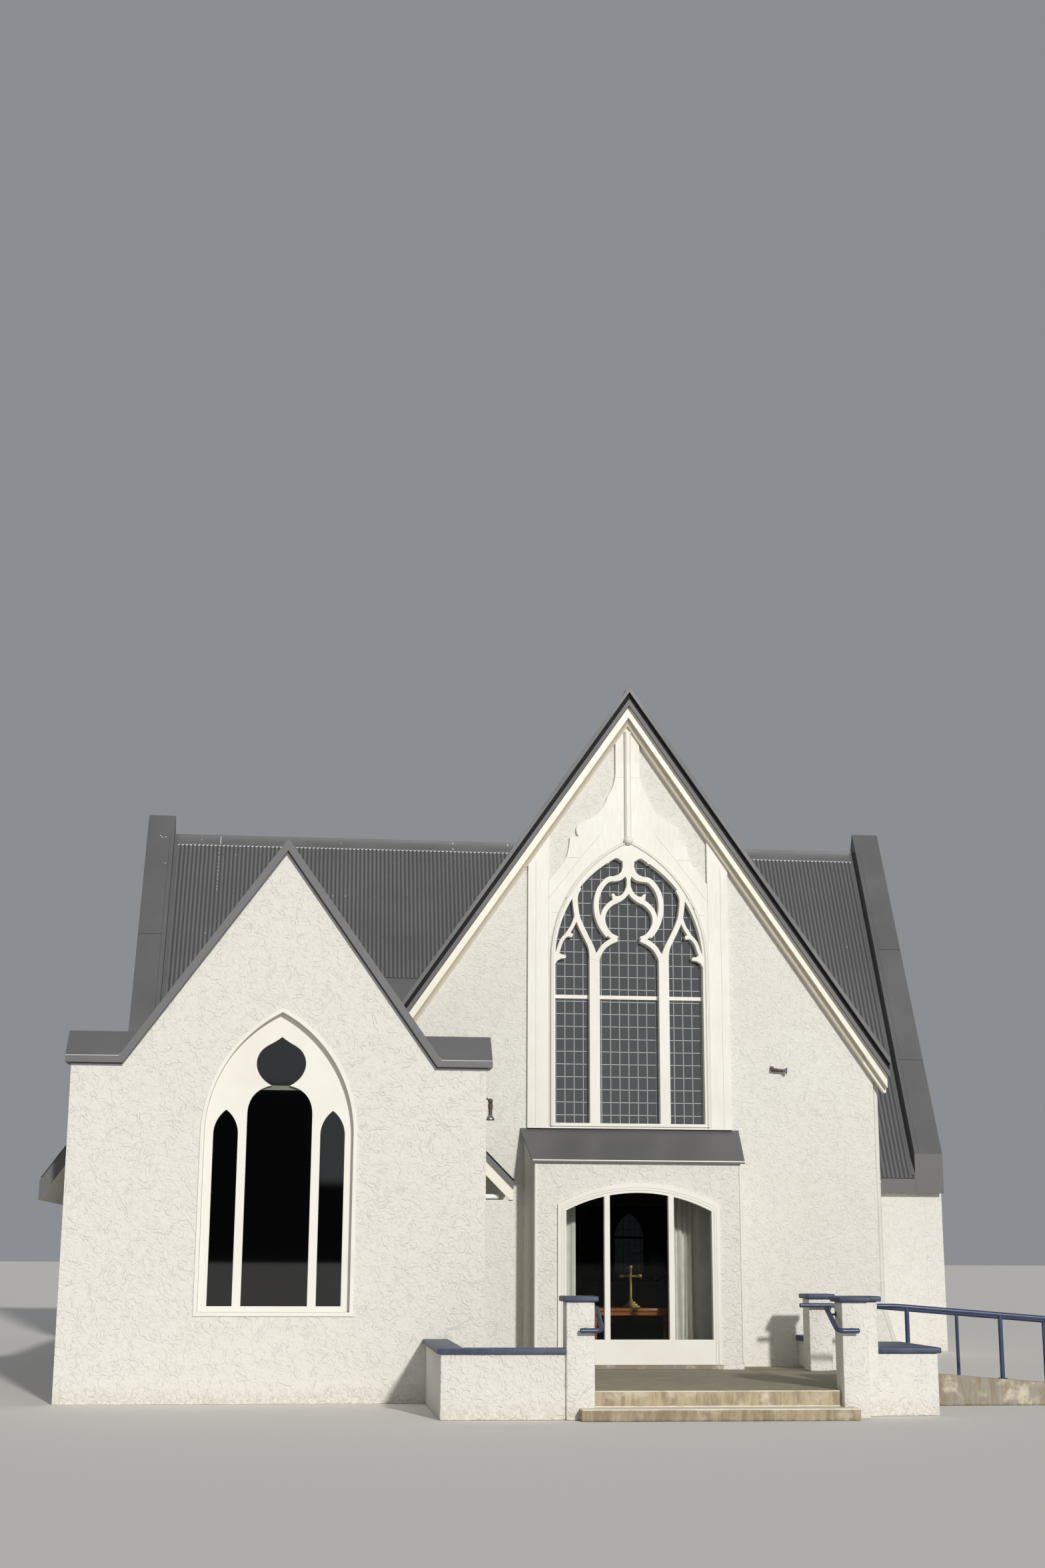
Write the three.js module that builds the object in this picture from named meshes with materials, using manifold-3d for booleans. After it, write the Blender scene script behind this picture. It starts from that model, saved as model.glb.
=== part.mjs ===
// A stuccoed church with a tall traceried front gable, a lower wing on its left, a long nave
// across the back, and a small forecourt with steps and a ramp.
//
// Millimetres, +Z up. While it is being built, X = 0 is the axis of the tall front gable,
// Y = 0 is the outer face of its front wall, +Y runs into the building and Z = 0 is the ground
// at the foot of the steps. The finished group is shifted so that its origin is the centre of
// the whole footprint.

import * as THREE from "three";
import { mergeVertices } from "three/addons/utils/BufferGeometryUtils.js";
import Module from "manifold-3d";

const wasm = await Module();
wasm.setup();

// Driving dimensions shared by the whole building

const SEAM = 0.3; // hairline between a sloping or cut piece and what carries it
const WALL = 300; // outer walls, stucco on both faces
const GLASS = 6;
const FLOOR_TOP = 270; // the inside floor and the terrace are level with each other
const LOWER_STEP_TOP = 115;
const GABLE_PITCH = 1.445; // rise over run of the tall front gable
const WING_PITCH = 1.39;
const NAVE_PITCH = 2;
const ROOF_THICKNESS = 125; // sheeting, battens and rafters, across the slope
const SMOOTH = 14; // pieces to an arc

const slopeDrop = (thickness, pitch) => thickness * Math.hypot(1, pitch);
const GABLE_ROOF_DROP = slopeDrop(ROOF_THICKNESS, GABLE_PITCH);
const WING_ROOF_DROP = slopeDrop(ROOF_THICKNESS, WING_PITCH);
const NAVE_ROOF_DROP = slopeDrop(ROOF_THICKNESS, NAVE_PITCH);
const SEAM_DROP = slopeDrop(SEAM, NAVE_PITCH);

// The tall front gable and the hall behind it
const GABLE = {
  half: 3090,
  ridge: 8635,
  verge: -200, // the roof stands this far in front of the wall
  eaveReach: 140, // and this far beyond the side walls
};

// The lower wing on the left of the gable
const WING = {
  axis: -4260,
  half: 2300,
  front: -2000,
  ridge: 6100,
  parapetApex: 5995, // top of the wall under the coping
  parapetShift: -17, // its point stands a little to the left of the axis
  shoulder: 3578,
  shoulderHalf: 1733, // where the rakes come down onto the level shoulders
  eaveReach: 390, // on the left
  eaveStart: -1000, // the left eave begins this far back
};

// The nave that crosses behind both
const NAVE = {
  half: 7015,
  ridgeY: 12450,
  ridge: 9198,
  halfDepth: 3000,
  eaveReach: 150,
  parapetWidth: 495,
  parapetRise: 387,
};

// The bay under the front window
const BAY = {
  frontHalf: 1240,
  backHalf: 1310,
  front: -600,
  wall: 120,
  top: 2640,
  roofFront: 2665,
  roofBack: 3073,
  roofReach: 50,
};

// The pointed window of the front gable: a two-centred arch
const TALL_WINDOW = {
  half: 990,
  sill: 3100,
  spring: 5150,
  apex: 6680,
  frame: 56, // its frame is this wide at the jambs, and wider towards the point
  innerApex: 6530,
};

// Finishes

const finish = (color, roughness, metalness = 0) =>
  new THREE.MeshStandardMaterial({ color, roughness, metalness });
const STUCCO = finish(0xece8df, 0.92);
const WHITE_TRIM = finish(0xf4f2ec, 0.55);
const CREAM_BOARD = finish(0xf1ecd6, 0.55);
const ROOF_METAL = finish(0x5b5c60, 0.5, 0.2);
const CONCRETE = finish(0xb3aa98, 0.9);
const SLATE_PAINT = finish(0x434f73, 0.45);
const RAIL_PAINT = finish(0x37415c, 0.4, 0.3);
const DARK_GLASS = finish(0x2a3138, 0.08);
const OAK = finish(0xa8672f, 0.5);
const BRASS = finish(0xb08d3e, 0.3, 1);
const CURTAIN = finish(0xe9e6dc, 0.95);
const PIPE_PAINT = finish(0xd9d6cf, 0.5);

const part = new THREE.Group();

function add(name, geometry, material) {
  const mesh = new THREE.Mesh(geometry, material);
  mesh.name = name;
  part.add(mesh);
  return mesh;
}

// Making shapes

function box(x0, x1, y0, y1, z0, z1) {
  const geometry = new THREE.BoxGeometry(x1 - x0, y1 - y0, z1 - z0);
  return geometry.translate((x0 + x1) / 2, (y0 + y1) / 2, (z0 + z1) / 2);
}

// Extrusion axes: the outline's own two directions, then the direction it is drawn out along.
const X = new THREE.Vector3(1, 0, 0);
const Y = new THREE.Vector3(0, 1, 0);
const Z = new THREE.Vector3(0, 0, 1);
const FRAMES = { x: [Y, Z, X], y: [X, Z, Y], z: [X, Y, Z] };

const outlineOf = (points) => new THREE.Shape(points.map(([u, v]) => new THREE.Vector2(u, v)));

function extrude(outline, axis, from, to) {
  const shape = Array.isArray(outline) ? outlineOf(outline) : outline;
  const settings = { depth: to - from, bevelEnabled: false, curveSegments: SMOOTH };
  const geometry = new THREE.ExtrudeGeometry(shape, settings);
  const along = FRAMES[axis][2].clone().multiplyScalar(from);
  if (axis === "y") {
    // X, Z and Y make a left-handed frame, so this one is turned about X instead.
    return geometry.rotateX(Math.PI / 2).translate(0, to, 0);
  }
  const turn = new THREE.Matrix4().makeBasis(...FRAMES[axis]);
  return geometry.applyMatrix4(turn).translate(along.x, along.y, along.z);
}

function solid(geometry) {
  const bare = geometry.index ? geometry.toNonIndexed() : geometry.clone();
  bare.deleteAttribute("normal");
  bare.deleteAttribute("uv");
  const merged = mergeVertices(bare, 1e-3);
  return new wasm.Manifold(
    new wasm.Mesh({
      numProp: 3,
      vertProperties: new Float32Array(merged.attributes.position.array),
      triVerts: new Uint32Array(merged.index.array),
    }),
  );
}

function geometryOf(made) {
  const mesh = made.getMesh();
  const geometry = new THREE.BufferGeometry();
  geometry.setAttribute("position", new THREE.BufferAttribute(mesh.vertProperties, 3));
  geometry.setIndex(new THREE.BufferAttribute(mesh.triVerts, 1));
  return geometry;
}

const join = (...pieces) => geometryOf(pieces.map(solid).reduce((a, b) => a.add(b)));
const cut = (body, ...tools) =>
  geometryOf(tools.map(solid).reduce((left, tool) => left.subtract(tool), solid(body)));
const overlapOf = (a, b) => geometryOf(solid(a).intersect(solid(b)));

// A two-centred pointed arch on straight jambs. grow pushes the whole outline outwards.
function pointedArch({ half, sill, spring, apex }, centre = 0, grow = 0) {
  const rise = apex - spring;
  const radius = (half * half + rise * rise) / (2 * half);
  const reach = radius - half;
  const grown = radius + grow;
  const lean = Math.acos(reach / grown);
  const shape = new THREE.Shape();
  shape.moveTo(centre - half - grow, sill - grow);
  shape.lineTo(centre + half + grow, sill - grow);
  shape.lineTo(centre + half + grow, spring);
  shape.absarc(centre - reach, spring, grown, 0, lean, false);
  shape.absarc(centre + reach, spring, grown, Math.PI - lean, Math.PI, false);
  shape.closePath();
  return shape;
}

// A low arch that is one arc of a circle, on straight jambs.
function segmentArch({ half, sill, spring, apex }, grow = 0) {
  const rise = apex - spring;
  const radius = (half * half + rise * rise) / (2 * rise);
  const centre = apex - radius;
  const wide = half + grow;
  const start = Math.acos(wide / (radius + grow));
  const shape = new THREE.Shape();
  shape.moveTo(-wide, sill - grow);
  shape.lineTo(wide, sill - grow);
  shape.absarc(0, centre, radius + grow, start, Math.PI - start, false);
  shape.closePath();
  return shape;
}

// A flat bar of even width that follows a smooth line through points in the XZ plane.
function bar(points, width, from, to) {
  const line = new THREE.CatmullRomCurve3(points.map(([x, z]) => new THREE.Vector3(x, z, 0)));
  const steps = Math.max(4, (points.length - 1) * 4);
  const left = [];
  const right = [];
  for (let i = 0; i <= steps; i += 1) {
    const at = line.getPoint(i / steps);
    const along = line.getTangent(i / steps);
    const side = new THREE.Vector2(-along.y, along.x).multiplyScalar(width / 2);
    left.push([at.x + side.x, at.y + side.y]);
    right.unshift([at.x - side.x, at.y - side.y]);
  }
  return extrude([...left, ...right], "y", from, to);
}

// A round pipe along a path, bent to a small radius at each inner point.
function pipe(points, diameter, bend = 60) {
  const path = new THREE.CurvePath();
  let from = points[0];
  for (let i = 1; i < points.length - 1; i += 1) {
    const [before, at, after] = [points[i - 1], points[i], points[i + 1]];
    const entry = at.clone().add(before.clone().sub(at).setLength(bend));
    const exit = at.clone().add(after.clone().sub(at).setLength(bend));
    path.add(new THREE.LineCurve3(from, entry));
    path.add(new THREE.QuadraticBezierCurve3(entry, at, exit));
    from = exit;
  }
  path.add(new THREE.LineCurve3(from, points.at(-1)));
  const spots = path.curves.flatMap((curve, i) => {
    const own = curve.isQuadraticBezierCurve3 ? curve.getPoints(5) : curve.getPoints(1);
    return i ? own.slice(1) : own;
  });
  const sides = 10;
  const positions = [];
  const ring = spots.map((spot, i) => {
    const along = (spots[i + 1] ?? spot).clone().sub(spots[i - 1] ?? spot).normalize();
    const across = new THREE.Vector3().crossVectors(along, Math.abs(along.z) > 0.9 ? Y : Z);
    across.normalize();
    const over = new THREE.Vector3().crossVectors(along, across);
    return Array.from({ length: sides }, (_, k) => {
      const turn = (k / sides) * 2 * Math.PI;
      const out = across.clone().multiplyScalar(Math.cos(turn));
      out.addScaledVector(over, Math.sin(turn));
      return spot.clone().addScaledVector(out, diameter / 2);
    });
  });
  const face = (...corners) => corners.forEach((corner) => positions.push(...corner.toArray()));
  for (let i = 0; i < ring.length - 1; i += 1) {
    for (let k = 0; k < sides; k += 1) {
      const next = (k + 1) % sides;
      face(ring[i][k], ring[i][next], ring[i + 1][next]);
      face(ring[i][k], ring[i + 1][next], ring[i + 1][k]);
    }
  }
  const [first, last] = [ring[0], ring.at(-1)];
  for (let k = 1; k < sides - 1; k += 1) {
    face(first[0], first[k + 1], first[k]);
    face(last[0], last[k], last[k + 1]);
  }
  const geometry = new THREE.BufferGeometry();
  geometry.setAttribute("position", new THREE.Float32BufferAttribute(positions, 3));
  return geometry;
}

// Roofs. Each is drawn as one bent slab over its ridge, and whole volumes under a roof's
// outer surface cut the lower roofs that run into it.

const at = (x, y, z) => new THREE.Vector3(x, y, z);

const gableLine = (x) => GABLE.ridge - GABLE_PITCH * Math.abs(x);
const wingLine = (x) => WING.ridge - WING_PITCH * Math.abs(x - WING.axis);
const naveLine = (y) => NAVE.ridge - NAVE_PITCH * Math.abs(y - NAVE.ridgeY);

function bentSlab(line, centre, reach, drop) {
  const low = centre - reach;
  const high = centre + reach;
  return [
    [low, line(low) - drop],
    [centre, line(centre) - drop],
    [high, line(high) - drop],
    [high, line(high)],
    [centre, line(centre)],
    [low, line(low)],
  ];
}

const naveReach = NAVE.halfDepth + NAVE.eaveReach;
const naveFront = NAVE.ridgeY - NAVE.halfDepth;
const naveBack = NAVE.ridgeY + NAVE.halfDepth;
const parapetInner = NAVE.half - NAVE.parapetWidth;

// Everything below the nave roof, a hairline larger, from side to side
const underNave = extrude(
  [
    [naveFront - 1000, -10],
    [naveBack + 1000, -10],
    [naveBack + 1000, naveLine(naveBack + 1000) + SEAM_DROP],
    [NAVE.ridgeY, NAVE.ridge + SEAM_DROP],
    [naveFront - 1000, naveLine(naveFront - 1000) + SEAM_DROP],
  ],
  "x",
  -NAVE.half - 500,
  NAVE.half + 500,
);

const gableReach = GABLE.half + GABLE.eaveReach;
const underGable = extrude(
  [
    [-gableReach - 400, -10],
    [gableReach, -10],
    [gableReach, gableLine(gableReach) + SEAM_DROP],
    [0, GABLE.ridge + SEAM_DROP],
    [-gableReach - 400, gableLine(gableReach + 400) + SEAM_DROP],
  ],
  "y",
  -SEAM,
  NAVE.ridgeY,
);
const wingReach = WING.half + WING.eaveReach;
const wingRight = WING.axis + WING.half;
const underWing = extrude(
  [
    [WING.axis - wingReach, -10],
    [wingRight + 100, -10],
    [wingRight + 100, wingLine(wingRight + 100) + SEAM_DROP],
    [WING.axis, WING.ridge + SEAM_DROP],
    [WING.axis - wingReach, wingLine(WING.axis - wingReach) + SEAM_DROP],
  ],
  "y",
  WING.front + WALL,
  NAVE.ridgeY,
);

function gableRoof() {
  const slab = extrude(
    bentSlab(gableLine, 0, gableReach, GABLE_ROOF_DROP),
    "y",
    GABLE.verge,
    NAVE.ridgeY,
  );
  add("gable_roof", cut(slab, underNave, underWing), ROOF_METAL);
}

// The foot of the left parapet, a hairline larger, where the wing runs into it
const parapetFoot = box(-NAVE.half, -parapetInner + SEAM, naveFront - 151, NAVE.ridgeY, 0, NAVE.ridge);

function wingRoof() {
  const left = WING.axis - wingReach;
  const outline = [
    [left, wingLine(left) - WING_ROOF_DROP],
    [WING.axis, WING.ridge - WING_ROOF_DROP],
    [wingRight, wingLine(wingRight) - WING_ROOF_DROP],
    [wingRight, wingLine(wingRight)],
    [WING.axis, WING.ridge],
    [left, wingLine(left)],
  ];
  const slab = extrude(outline, "y", COPING.back + SEAM, NAVE.ridgeY);
  const beforeEave = box(left - 50, WING.axis - WING.half, COPING.back - 50, WING.eaveStart, 0, WING.ridge);
  add("wing_roof", cut(slab, underNave, underGable, parapetFoot, beforeEave), ROOF_METAL);
}

function naveRoof() {
  const slab = extrude(
    bentSlab(naveLine, NAVE.ridgeY, naveReach, NAVE_ROOF_DROP),
    "x",
    -parapetInner + SEAM,
    parapetInner - SEAM,
  );
  const overRooms = box(-NAVE.half, GABLE.half + SEAM, naveFront - 400, naveFront, 0, 5000);
  add("nave_roof", cut(slab, overRooms), ROOF_METAL);
}

// The tall gable: wall, boards, bargeboards, tracery

const gableUnder = (x) => gableLine(x) - GABLE_ROOF_DROP - SEAM_DROP;
const BAY_ARCHWAY = { half: 1120, top: 2450 }; // where the bay opens into the hall
const BATTER = { top: 985, foot: 290 }; // the sloping foot at the right corner

function gableFrontWall() {
  const outline = outlineOf([
    [-GABLE.half, 0],
    [GABLE.half, 0],
    [GABLE.half, gableUnder(GABLE.half)],
    [0, gableUnder(0)],
    [-GABLE.half, gableUnder(GABLE.half)],
  ]);
  outline.holes.push(pointedArch(TALL_WINDOW, 0, SEAM));
  outline.holes.push(
    outlineOf([
      [-BAY_ARCHWAY.half, FLOOR_TOP],
      [BAY_ARCHWAY.half, FLOOR_TOP],
      [BAY_ARCHWAY.half, BAY_ARCHWAY.top],
      [-BAY_ARCHWAY.half, BAY_ARCHWAY.top],
    ]),
  );
  const wall = extrude(outline, "y", 0, WALL);
  const batter = extrude(
    [
      [GABLE.half - 1, 0],
      [GABLE.half + BATTER.foot, 0],
      [GABLE.half - 1, BATTER.top],
    ],
    "y",
    0,
    WALL,
  );
  add("gable_front_wall", join(wall, batter), STUCCO);
}

// A pointed window cut through a side wall whose face looks along X, or a back wall along Y
const LANCET = { half: 330, sill: 1150, spring: 1900, apex: 2420 };
const TALL_LANCET = { half: 330, sill: 1150, spring: 2250, apex: 2900 };

function wallAlongY(outline, from, to, windows, window) {
  const wall = extrude(outline, "y", from, to);
  const [low, high] = [Math.min(...outline.map((p) => p[0])), Math.max(...outline.map((p) => p[0]))];
  const holes = windows.map((y) => extrude(pointedArch(window, y), "x", low - 50, high + 50));
  return holes.length ? cut(wall, ...holes) : wall;
}

const HALL_WINDOWS = [2000, 4000, 6000, 8000];
const WING_WINDOWS = [800, 3000, 5200, 7400];

function hallSideWalls() {
  for (const [name, side, windows] of [
    ["gable_left_wall", -1, []],
    ["gable_right_wall", 1, HALL_WINDOWS],
  ]) {
    const outer = GABLE.half * side;
    const inner = (GABLE.half - WALL) * side;
    const corners = [
      [outer, 0],
      [inner, 0],
      [inner, gableUnder(inner)],
      [outer, gableUnder(outer)],
    ];
    const outline = side < 0 ? corners : corners.reverse();
    add(name, wallAlongY(outline, WALL, naveFront, windows, TALL_LANCET), STUCCO);
  }
  const glassX = GABLE.half - WALL;
  add(
    "hall_side_glass",
    box(glassX - SEAM - GLASS, glassX - SEAM, 1550, 8450, 1050, 3000),
    DARK_GLASS,
  );
}

// Bargeboards: a cream board close under the roof, with a white moulding behind its lower edge
const BARGE = { front: -160, back: -85, depth: 80, mould: 53, low: 3230 };

function chevron(line, low, topDrop, bottomDrop) {
  return [
    [-low, line(low) - bottomDrop],
    [0, line(0) - bottomDrop],
    [low, line(low) - bottomDrop],
    [low, line(low) - topDrop],
    [0, line(0) - topDrop],
    [-low, line(low) - topDrop],
  ];
}

function bargeboards() {
  const top = GABLE_ROOF_DROP + SEAM_DROP;
  const boardDrop = top + slopeDrop(BARGE.depth, GABLE_PITCH);
  const mouldDrop = boardDrop + slopeDrop(BARGE.mould, GABLE_PITCH);
  const board = extrude(
    chevron(gableLine, BARGE.low, top, boardDrop),
    "y",
    BARGE.front,
    BARGE.back,
  );
  const moulding = extrude(chevron(gableLine, BARGE.low, top, mouldDrop), "y", BARGE.back - 1, -SEAM);
  const endCut = box(-4000, 4000, -400, 10, 0, gableLine(BARGE.low) - mouldDrop + 40);
  add("gable_bargeboards", cut(join(board, moulding), endCut, underWing), CREAM_BOARD);
}

// Smooth boards on the stucco: two uprights and an ogee-shaped board that rises to the ridge
const BOARDS = { front: -45, outer: 1275, inner: 1010, bottom: 3074, stem: 155 };

function faceBoards() {
  const bargeDrop = slopeDrop(BARGE.depth + BARGE.mould, GABLE_PITCH) + 3 * SEAM_DROP;
  const under = (x) => gableLine(x) - GABLE_ROOF_DROP - bargeDrop;
  const shape = new THREE.Shape();
  const half = (side) => (x, z) => [x * side, z];
  const l = half(-1);
  shape.moveTo(...l(BOARDS.outer, BOARDS.bottom));
  shape.lineTo(BOARDS.outer, BOARDS.bottom);
  shape.lineTo(BOARDS.outer, under(BOARDS.outer));
  shape.lineTo(BOARDS.inner, under(BOARDS.inner));
  const ogee = (side) => {
    const points = [
      [BOARDS.inner, 6150],
      [783, 6475],
      [744, 6712],
      [632, 6726],
      [645, 6876],
      [390, 7020],
      [257, 7260],
      [BOARDS.stem, 7560],
    ];
    const bulges = [
      null,
      [840, 6340],
      [750, 6590],
      null,
      [690, 6800],
      [500, 6950],
      [300, 7120],
      [175, 7380],
    ];
    const mirror = (point) => point && [point[0] * side, point[1]];
    return points.map((point, i) => ({ to: mirror(point), by: mirror(bulges[i]) }));
  };
  for (const { to, by } of ogee(1)) {
    if (by) shape.quadraticCurveTo(...by, ...to);
    else shape.lineTo(...to);
  }
  shape.lineTo(BOARDS.stem, under(BOARDS.stem));
  shape.lineTo(0, under(0));
  shape.lineTo(...l(BOARDS.stem, under(BOARDS.stem)));
  const back = ogee(-1).reverse();
  shape.lineTo(...back[0].to);
  for (let i = 1; i < back.length; i += 1) {
    const by = back[i - 1].by;
    if (by) shape.quadraticCurveTo(...by, ...back[i].to);
    else shape.lineTo(...back[i].to);
  }
  shape.lineTo(...l(BOARDS.inner, under(BOARDS.inner)));
  shape.lineTo(...l(BOARDS.outer, under(BOARDS.outer)));
  shape.closePath();
  shape.holes.push(pointedArch(TALL_WINDOW, 0, SEAM));
  const boards = extrude(shape, "y", BOARDS.front, -SEAM);
  add("gable_face_boards", join(boards, kingPost()), WHITE_TRIM);
}

// A slim upright on the boards, from the ridge down to a round boss at the point of the arch
function kingPost() {
  const half = 43;
  const proud = 50;
  const back = BOARDS.front + 1;
  const bargeDrop = slopeDrop(BARGE.depth + BARGE.mould, GABLE_PITCH) + 10;
  const top = gableLine(half) - GABLE_ROOF_DROP - bargeDrop;
  const post = extrude(
    [
      [-half, back],
      [-half, back - proud * 0.55],
      [-half * 0.5, back - proud],
      [half * 0.5, back - proud],
      [half, back - proud * 0.55],
      [half, back],
    ],
    "z",
    6690,
    top,
  );
  const boss = new THREE.SphereGeometry(58, 14, 10).translate(0, back - proud * 0.6, 6680);
  const inFront = box(-90, 90, back - 150, TRACERY.front - SEAM, 6600, 6800);
  return join(post, overlapOf(boss, inFront));
}

// Tracery, drawn for the left half and mirrored
const TRACERY = { front: -62, back: 60, mullion: 128, mullionX: 438, light: 70 };
const mirror = (points) => points.map(([x, z]) => [-x, z]);

function tracery() {
  const { front, back } = TRACERY;
  const bars = [
    // the ogee head over the middle light
    [[[-150, 5424], [-237, 5468], [-311, 5574], [-332, 5680], [-300, 5786], [-219, 5874],
      [-116, 5927], [-38, 5997], [0, 6077]], 62],
    // the larger ogee around it
    [[[-30, 6290], [-98, 6209], [-176, 6188], [-250, 6180], [-325, 6115], [-385, 6010],
      [-412, 5874], [-398, 5715], [-345, 5574], [-262, 5459]], 66],
    // from the cusp down to the mullion
    [[[-150, 5424], [-237, 5384], [-330, 5310], [-400, 5190]], 66],
    // from the mullion up to the arch
    [[[-430, 5150], [-470, 5291], [-539, 5433], [-608, 5574], [-655, 5697], [-675, 5821],
      [-690, 5960]], 66],
    // the head of the side light
    [[[-665, 5715], [-703, 5600], [-772, 5486], [-850, 5389], [-893, 5270], [-925, 5190]], 46],
  ];
  const cusps = [
    [[[-905, 5225], [-855, 5195], [-805, 5185]], 34],
    [[[-790, 5470], [-755, 5468], [-722, 5450]], 30],
    [[[-165, 5905], [-186, 5945], [-200, 5985]], 30],
  ];
  const solids = [];
  for (const [points, width] of [...bars, ...cusps]) {
    solids.push(bar(points, width, front, back));
    solids.push(bar(mirror(points), width, front, back));
  }
  const { mullion, mullionX } = TRACERY;
  for (const x of [-mullionX, mullionX]) {
    solids.push(box(x - mullion / 2, x + mullion / 2, front, back, TALL_WINDOW.sill, 5180));
  }
  const stem = [[-28, 6040], [28, 6040], [24, 6180], [75, 6330], [75, 6420], [235, 6390],
    [360, 6372], [0, 6900], [-360, 6372], [-235, 6390], [-75, 6420], [-75, 6330], [-24, 6180]];
  const lobes = [-164, 164].map((x) =>
    new THREE.CylinderGeometry(84, 84, 400, 24).translate(x, 0, 6370));
  solids.push(cut(extrude(stem, "y", front, back), ...lobes));
  const clipped = overlapOf(join(...solids), extrude(pointedArch(TALL_WINDOW), "y", front, back));
  const { half, sill, spring, frame: rim, innerApex } = TALL_WINDOW;
  const ring = pointedArch(TALL_WINDOW);
  ring.holes.push(pointedArch({ half: half - rim, sill: sill + 38, spring, apex: innerApex }));
  const frame = extrude(ring, "y", front, back);
  const transom = box(-960, 960, 20, back, 4672, 4718);
  add("gable_tracery", join(frame, clipped, transom), WHITE_TRIM);
  const glass = extrude(pointedArch(TALL_WINDOW), "y", back + SEAM, back + SEAM + GLASS);
  add("gable_window_glass", glass, DARK_GLASS);
}

// The bay: stucco walls on a solid base, a sloping metal roof, an arched window frame

const BAY_WINDOW = { half: 973, sill: 322, spring: 2150, apex: 2408 };
const BAY_LIGHT = { half: 873, sill: 606, spring: 2080, apex: 2290 };
const BAY_MULLION = { x: 385, width: 65 };

function bayPlan(grow, front = BAY.front) {
  const lean = (BAY.backHalf - BAY.frontHalf) / -BAY.front;
  const halfAt = (y) => BAY.backHalf + lean * y + grow;
  return [
    [-halfAt(front), front],
    [halfAt(front), front],
    [halfAt(0), -SEAM],
    [-halfAt(0), -SEAM],
  ];
}

const bayRoofSlope = (BAY.roofBack - BAY.roofFront) / (-BAY.front + BAY.roofReach);
const bayRoofTop = (y) => BAY.roofBack + bayRoofSlope * y;
const BAY_ROOF_DROP = 28;

function bay() {
  const outer = extrude(bayPlan(0), "z", 0, 3200);
  const roomPlan = bayPlan(-BAY.wall, BAY.front + BAY.wall);
  roomPlan[2][1] = 100;
  roomPlan[3][1] = 100;
  const room = extrude(roomPlan, "z", FLOOR_TOP, 3300);
  const overRoof = extrude(
    [
      [BAY.front - 300, bayRoofTop(BAY.front - 300) - BAY_ROOF_DROP - SEAM],
      [100, bayRoofTop(100) - BAY_ROOF_DROP - SEAM],
      [100, 3500],
      [BAY.front - 300, 3500],
    ],
    "x",
    -2000,
    2000,
  );
  const window = extrude(segmentArch(BAY_WINDOW, SEAM), "y", BAY.front - 50, BAY.front + BAY.wall + 50);
  add("bay_walls", cut(outer, room, overRoof, window), STUCCO);

  const sheet = extrude(
    [
      [BAY.front - BAY.roofReach, BAY.roofFront - BAY_ROOF_DROP],
      [-SEAM, bayRoofTop(-SEAM) - BAY_ROOF_DROP],
      [-SEAM, bayRoofTop(-SEAM)],
      [BAY.front - BAY.roofReach, BAY.roofFront],
    ],
    "x",
    -2000,
    2000,
  );
  const plan = extrude(bayPlan(BAY.roofReach, BAY.front - BAY.roofReach), "z", 2000, 3500);
  add("bay_roof", overlapOf(sheet, plan), ROOF_METAL);

  const frameFront = BAY.front - 25;
  const frameBack = BAY.front + 60;
  const { x, width } = BAY_MULLION;
  const bars = [-x, x].map((at) => box(at - width / 2, at + width / 2, frameFront, frameBack, 500, 2300));
  const outline = segmentArch(BAY_WINDOW);
  outline.holes.push(segmentArch(BAY_LIGHT));
  const frame = extrude(outline, "y", frameFront, frameBack);
  add("bay_window_frame", join(frame, ...bars), WHITE_TRIM);
  const glass = extrude(segmentArch(BAY_WINDOW), "y", frameBack + SEAM, frameBack + SEAM + GLASS);
  add("bay_window_glass", glass, DARK_GLASS);
}

// What shows through the bay window

function tableAndCross() {
  const centre = 120;
  const [left, right, near, far, top] = [centre - 578, centre + 578, 480, 1080, 933];
  const boardTop = box(left, right, near, far, top - 40, top);
  const apron = box(left + 30, right - 30, near + 25, far - 25, top - 87, top - 39);
  const legs = [];
  for (const x of [left + 10, right - 115]) {
    for (const y of [near + 10, far - 115]) legs.push(box(x, x + 105, y, y + 105, FLOOR_TOP, top - 40));
  }
  add("communion_table", join(boardTop, apron, ...legs), OAK);

  const seat = top + SEAM;
  const y = 760;
  const steps = [
    [102, 25],
    [76, 24],
    [50, 24],
    [24, 24],
  ];
  let low = seat;
  const solids = [];
  for (const [half, rise] of steps) {
    solids.push(box(centre - half, centre + half, y - half * 0.7, y + half * 0.7, low, low + rise));
    low += rise;
  }
  solids.push(box(centre - 14, centre + 14, y - 9, y + 9, low - 2, 1430));
  solids.push(box(centre - 120, centre + 120, y - 9, y + 9, 1300, 1326));
  for (const [x, z] of [[-120, 1313], [120, 1313], [0, 1422]]) {
    solids.push(box(centre + x - 20, centre + x + 20, y - 10, y + 10, z - 20, z + 20));
  }
  add("altar_cross", join(...solids), BRASS);
}

function curtains() {
  const front = 10;
  const back = 100;
  const track = BAY_ARCHWAY.top - SEAM; // they hang from the head of the archway
  const hem = FLOOR_TOP + 20;
  add("curtain_left", box(-1090, -665, front, back, hem, track), CURTAIN);
  add("curtain_right", box(500, 1080, front, back, hem, track), CURTAIN);
}

// The wing

const WING_WINDOW = { half: 820, sill: 950, spring: 2850, apex: 4200 };

// The top of the wing's front wall, from left to right
function parapetLine(reach, lift) {
  const { axis, shoulder, shoulderHalf, parapetApex, parapetShift } = WING;
  const point = axis + parapetShift;
  return [
    [axis - reach, shoulder + lift],
    [point - shoulderHalf, shoulder + lift],
    [point, parapetApex + lift],
    [point + shoulderHalf, shoulder + lift],
    [axis + reach, shoulder + lift],
  ];
}

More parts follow.
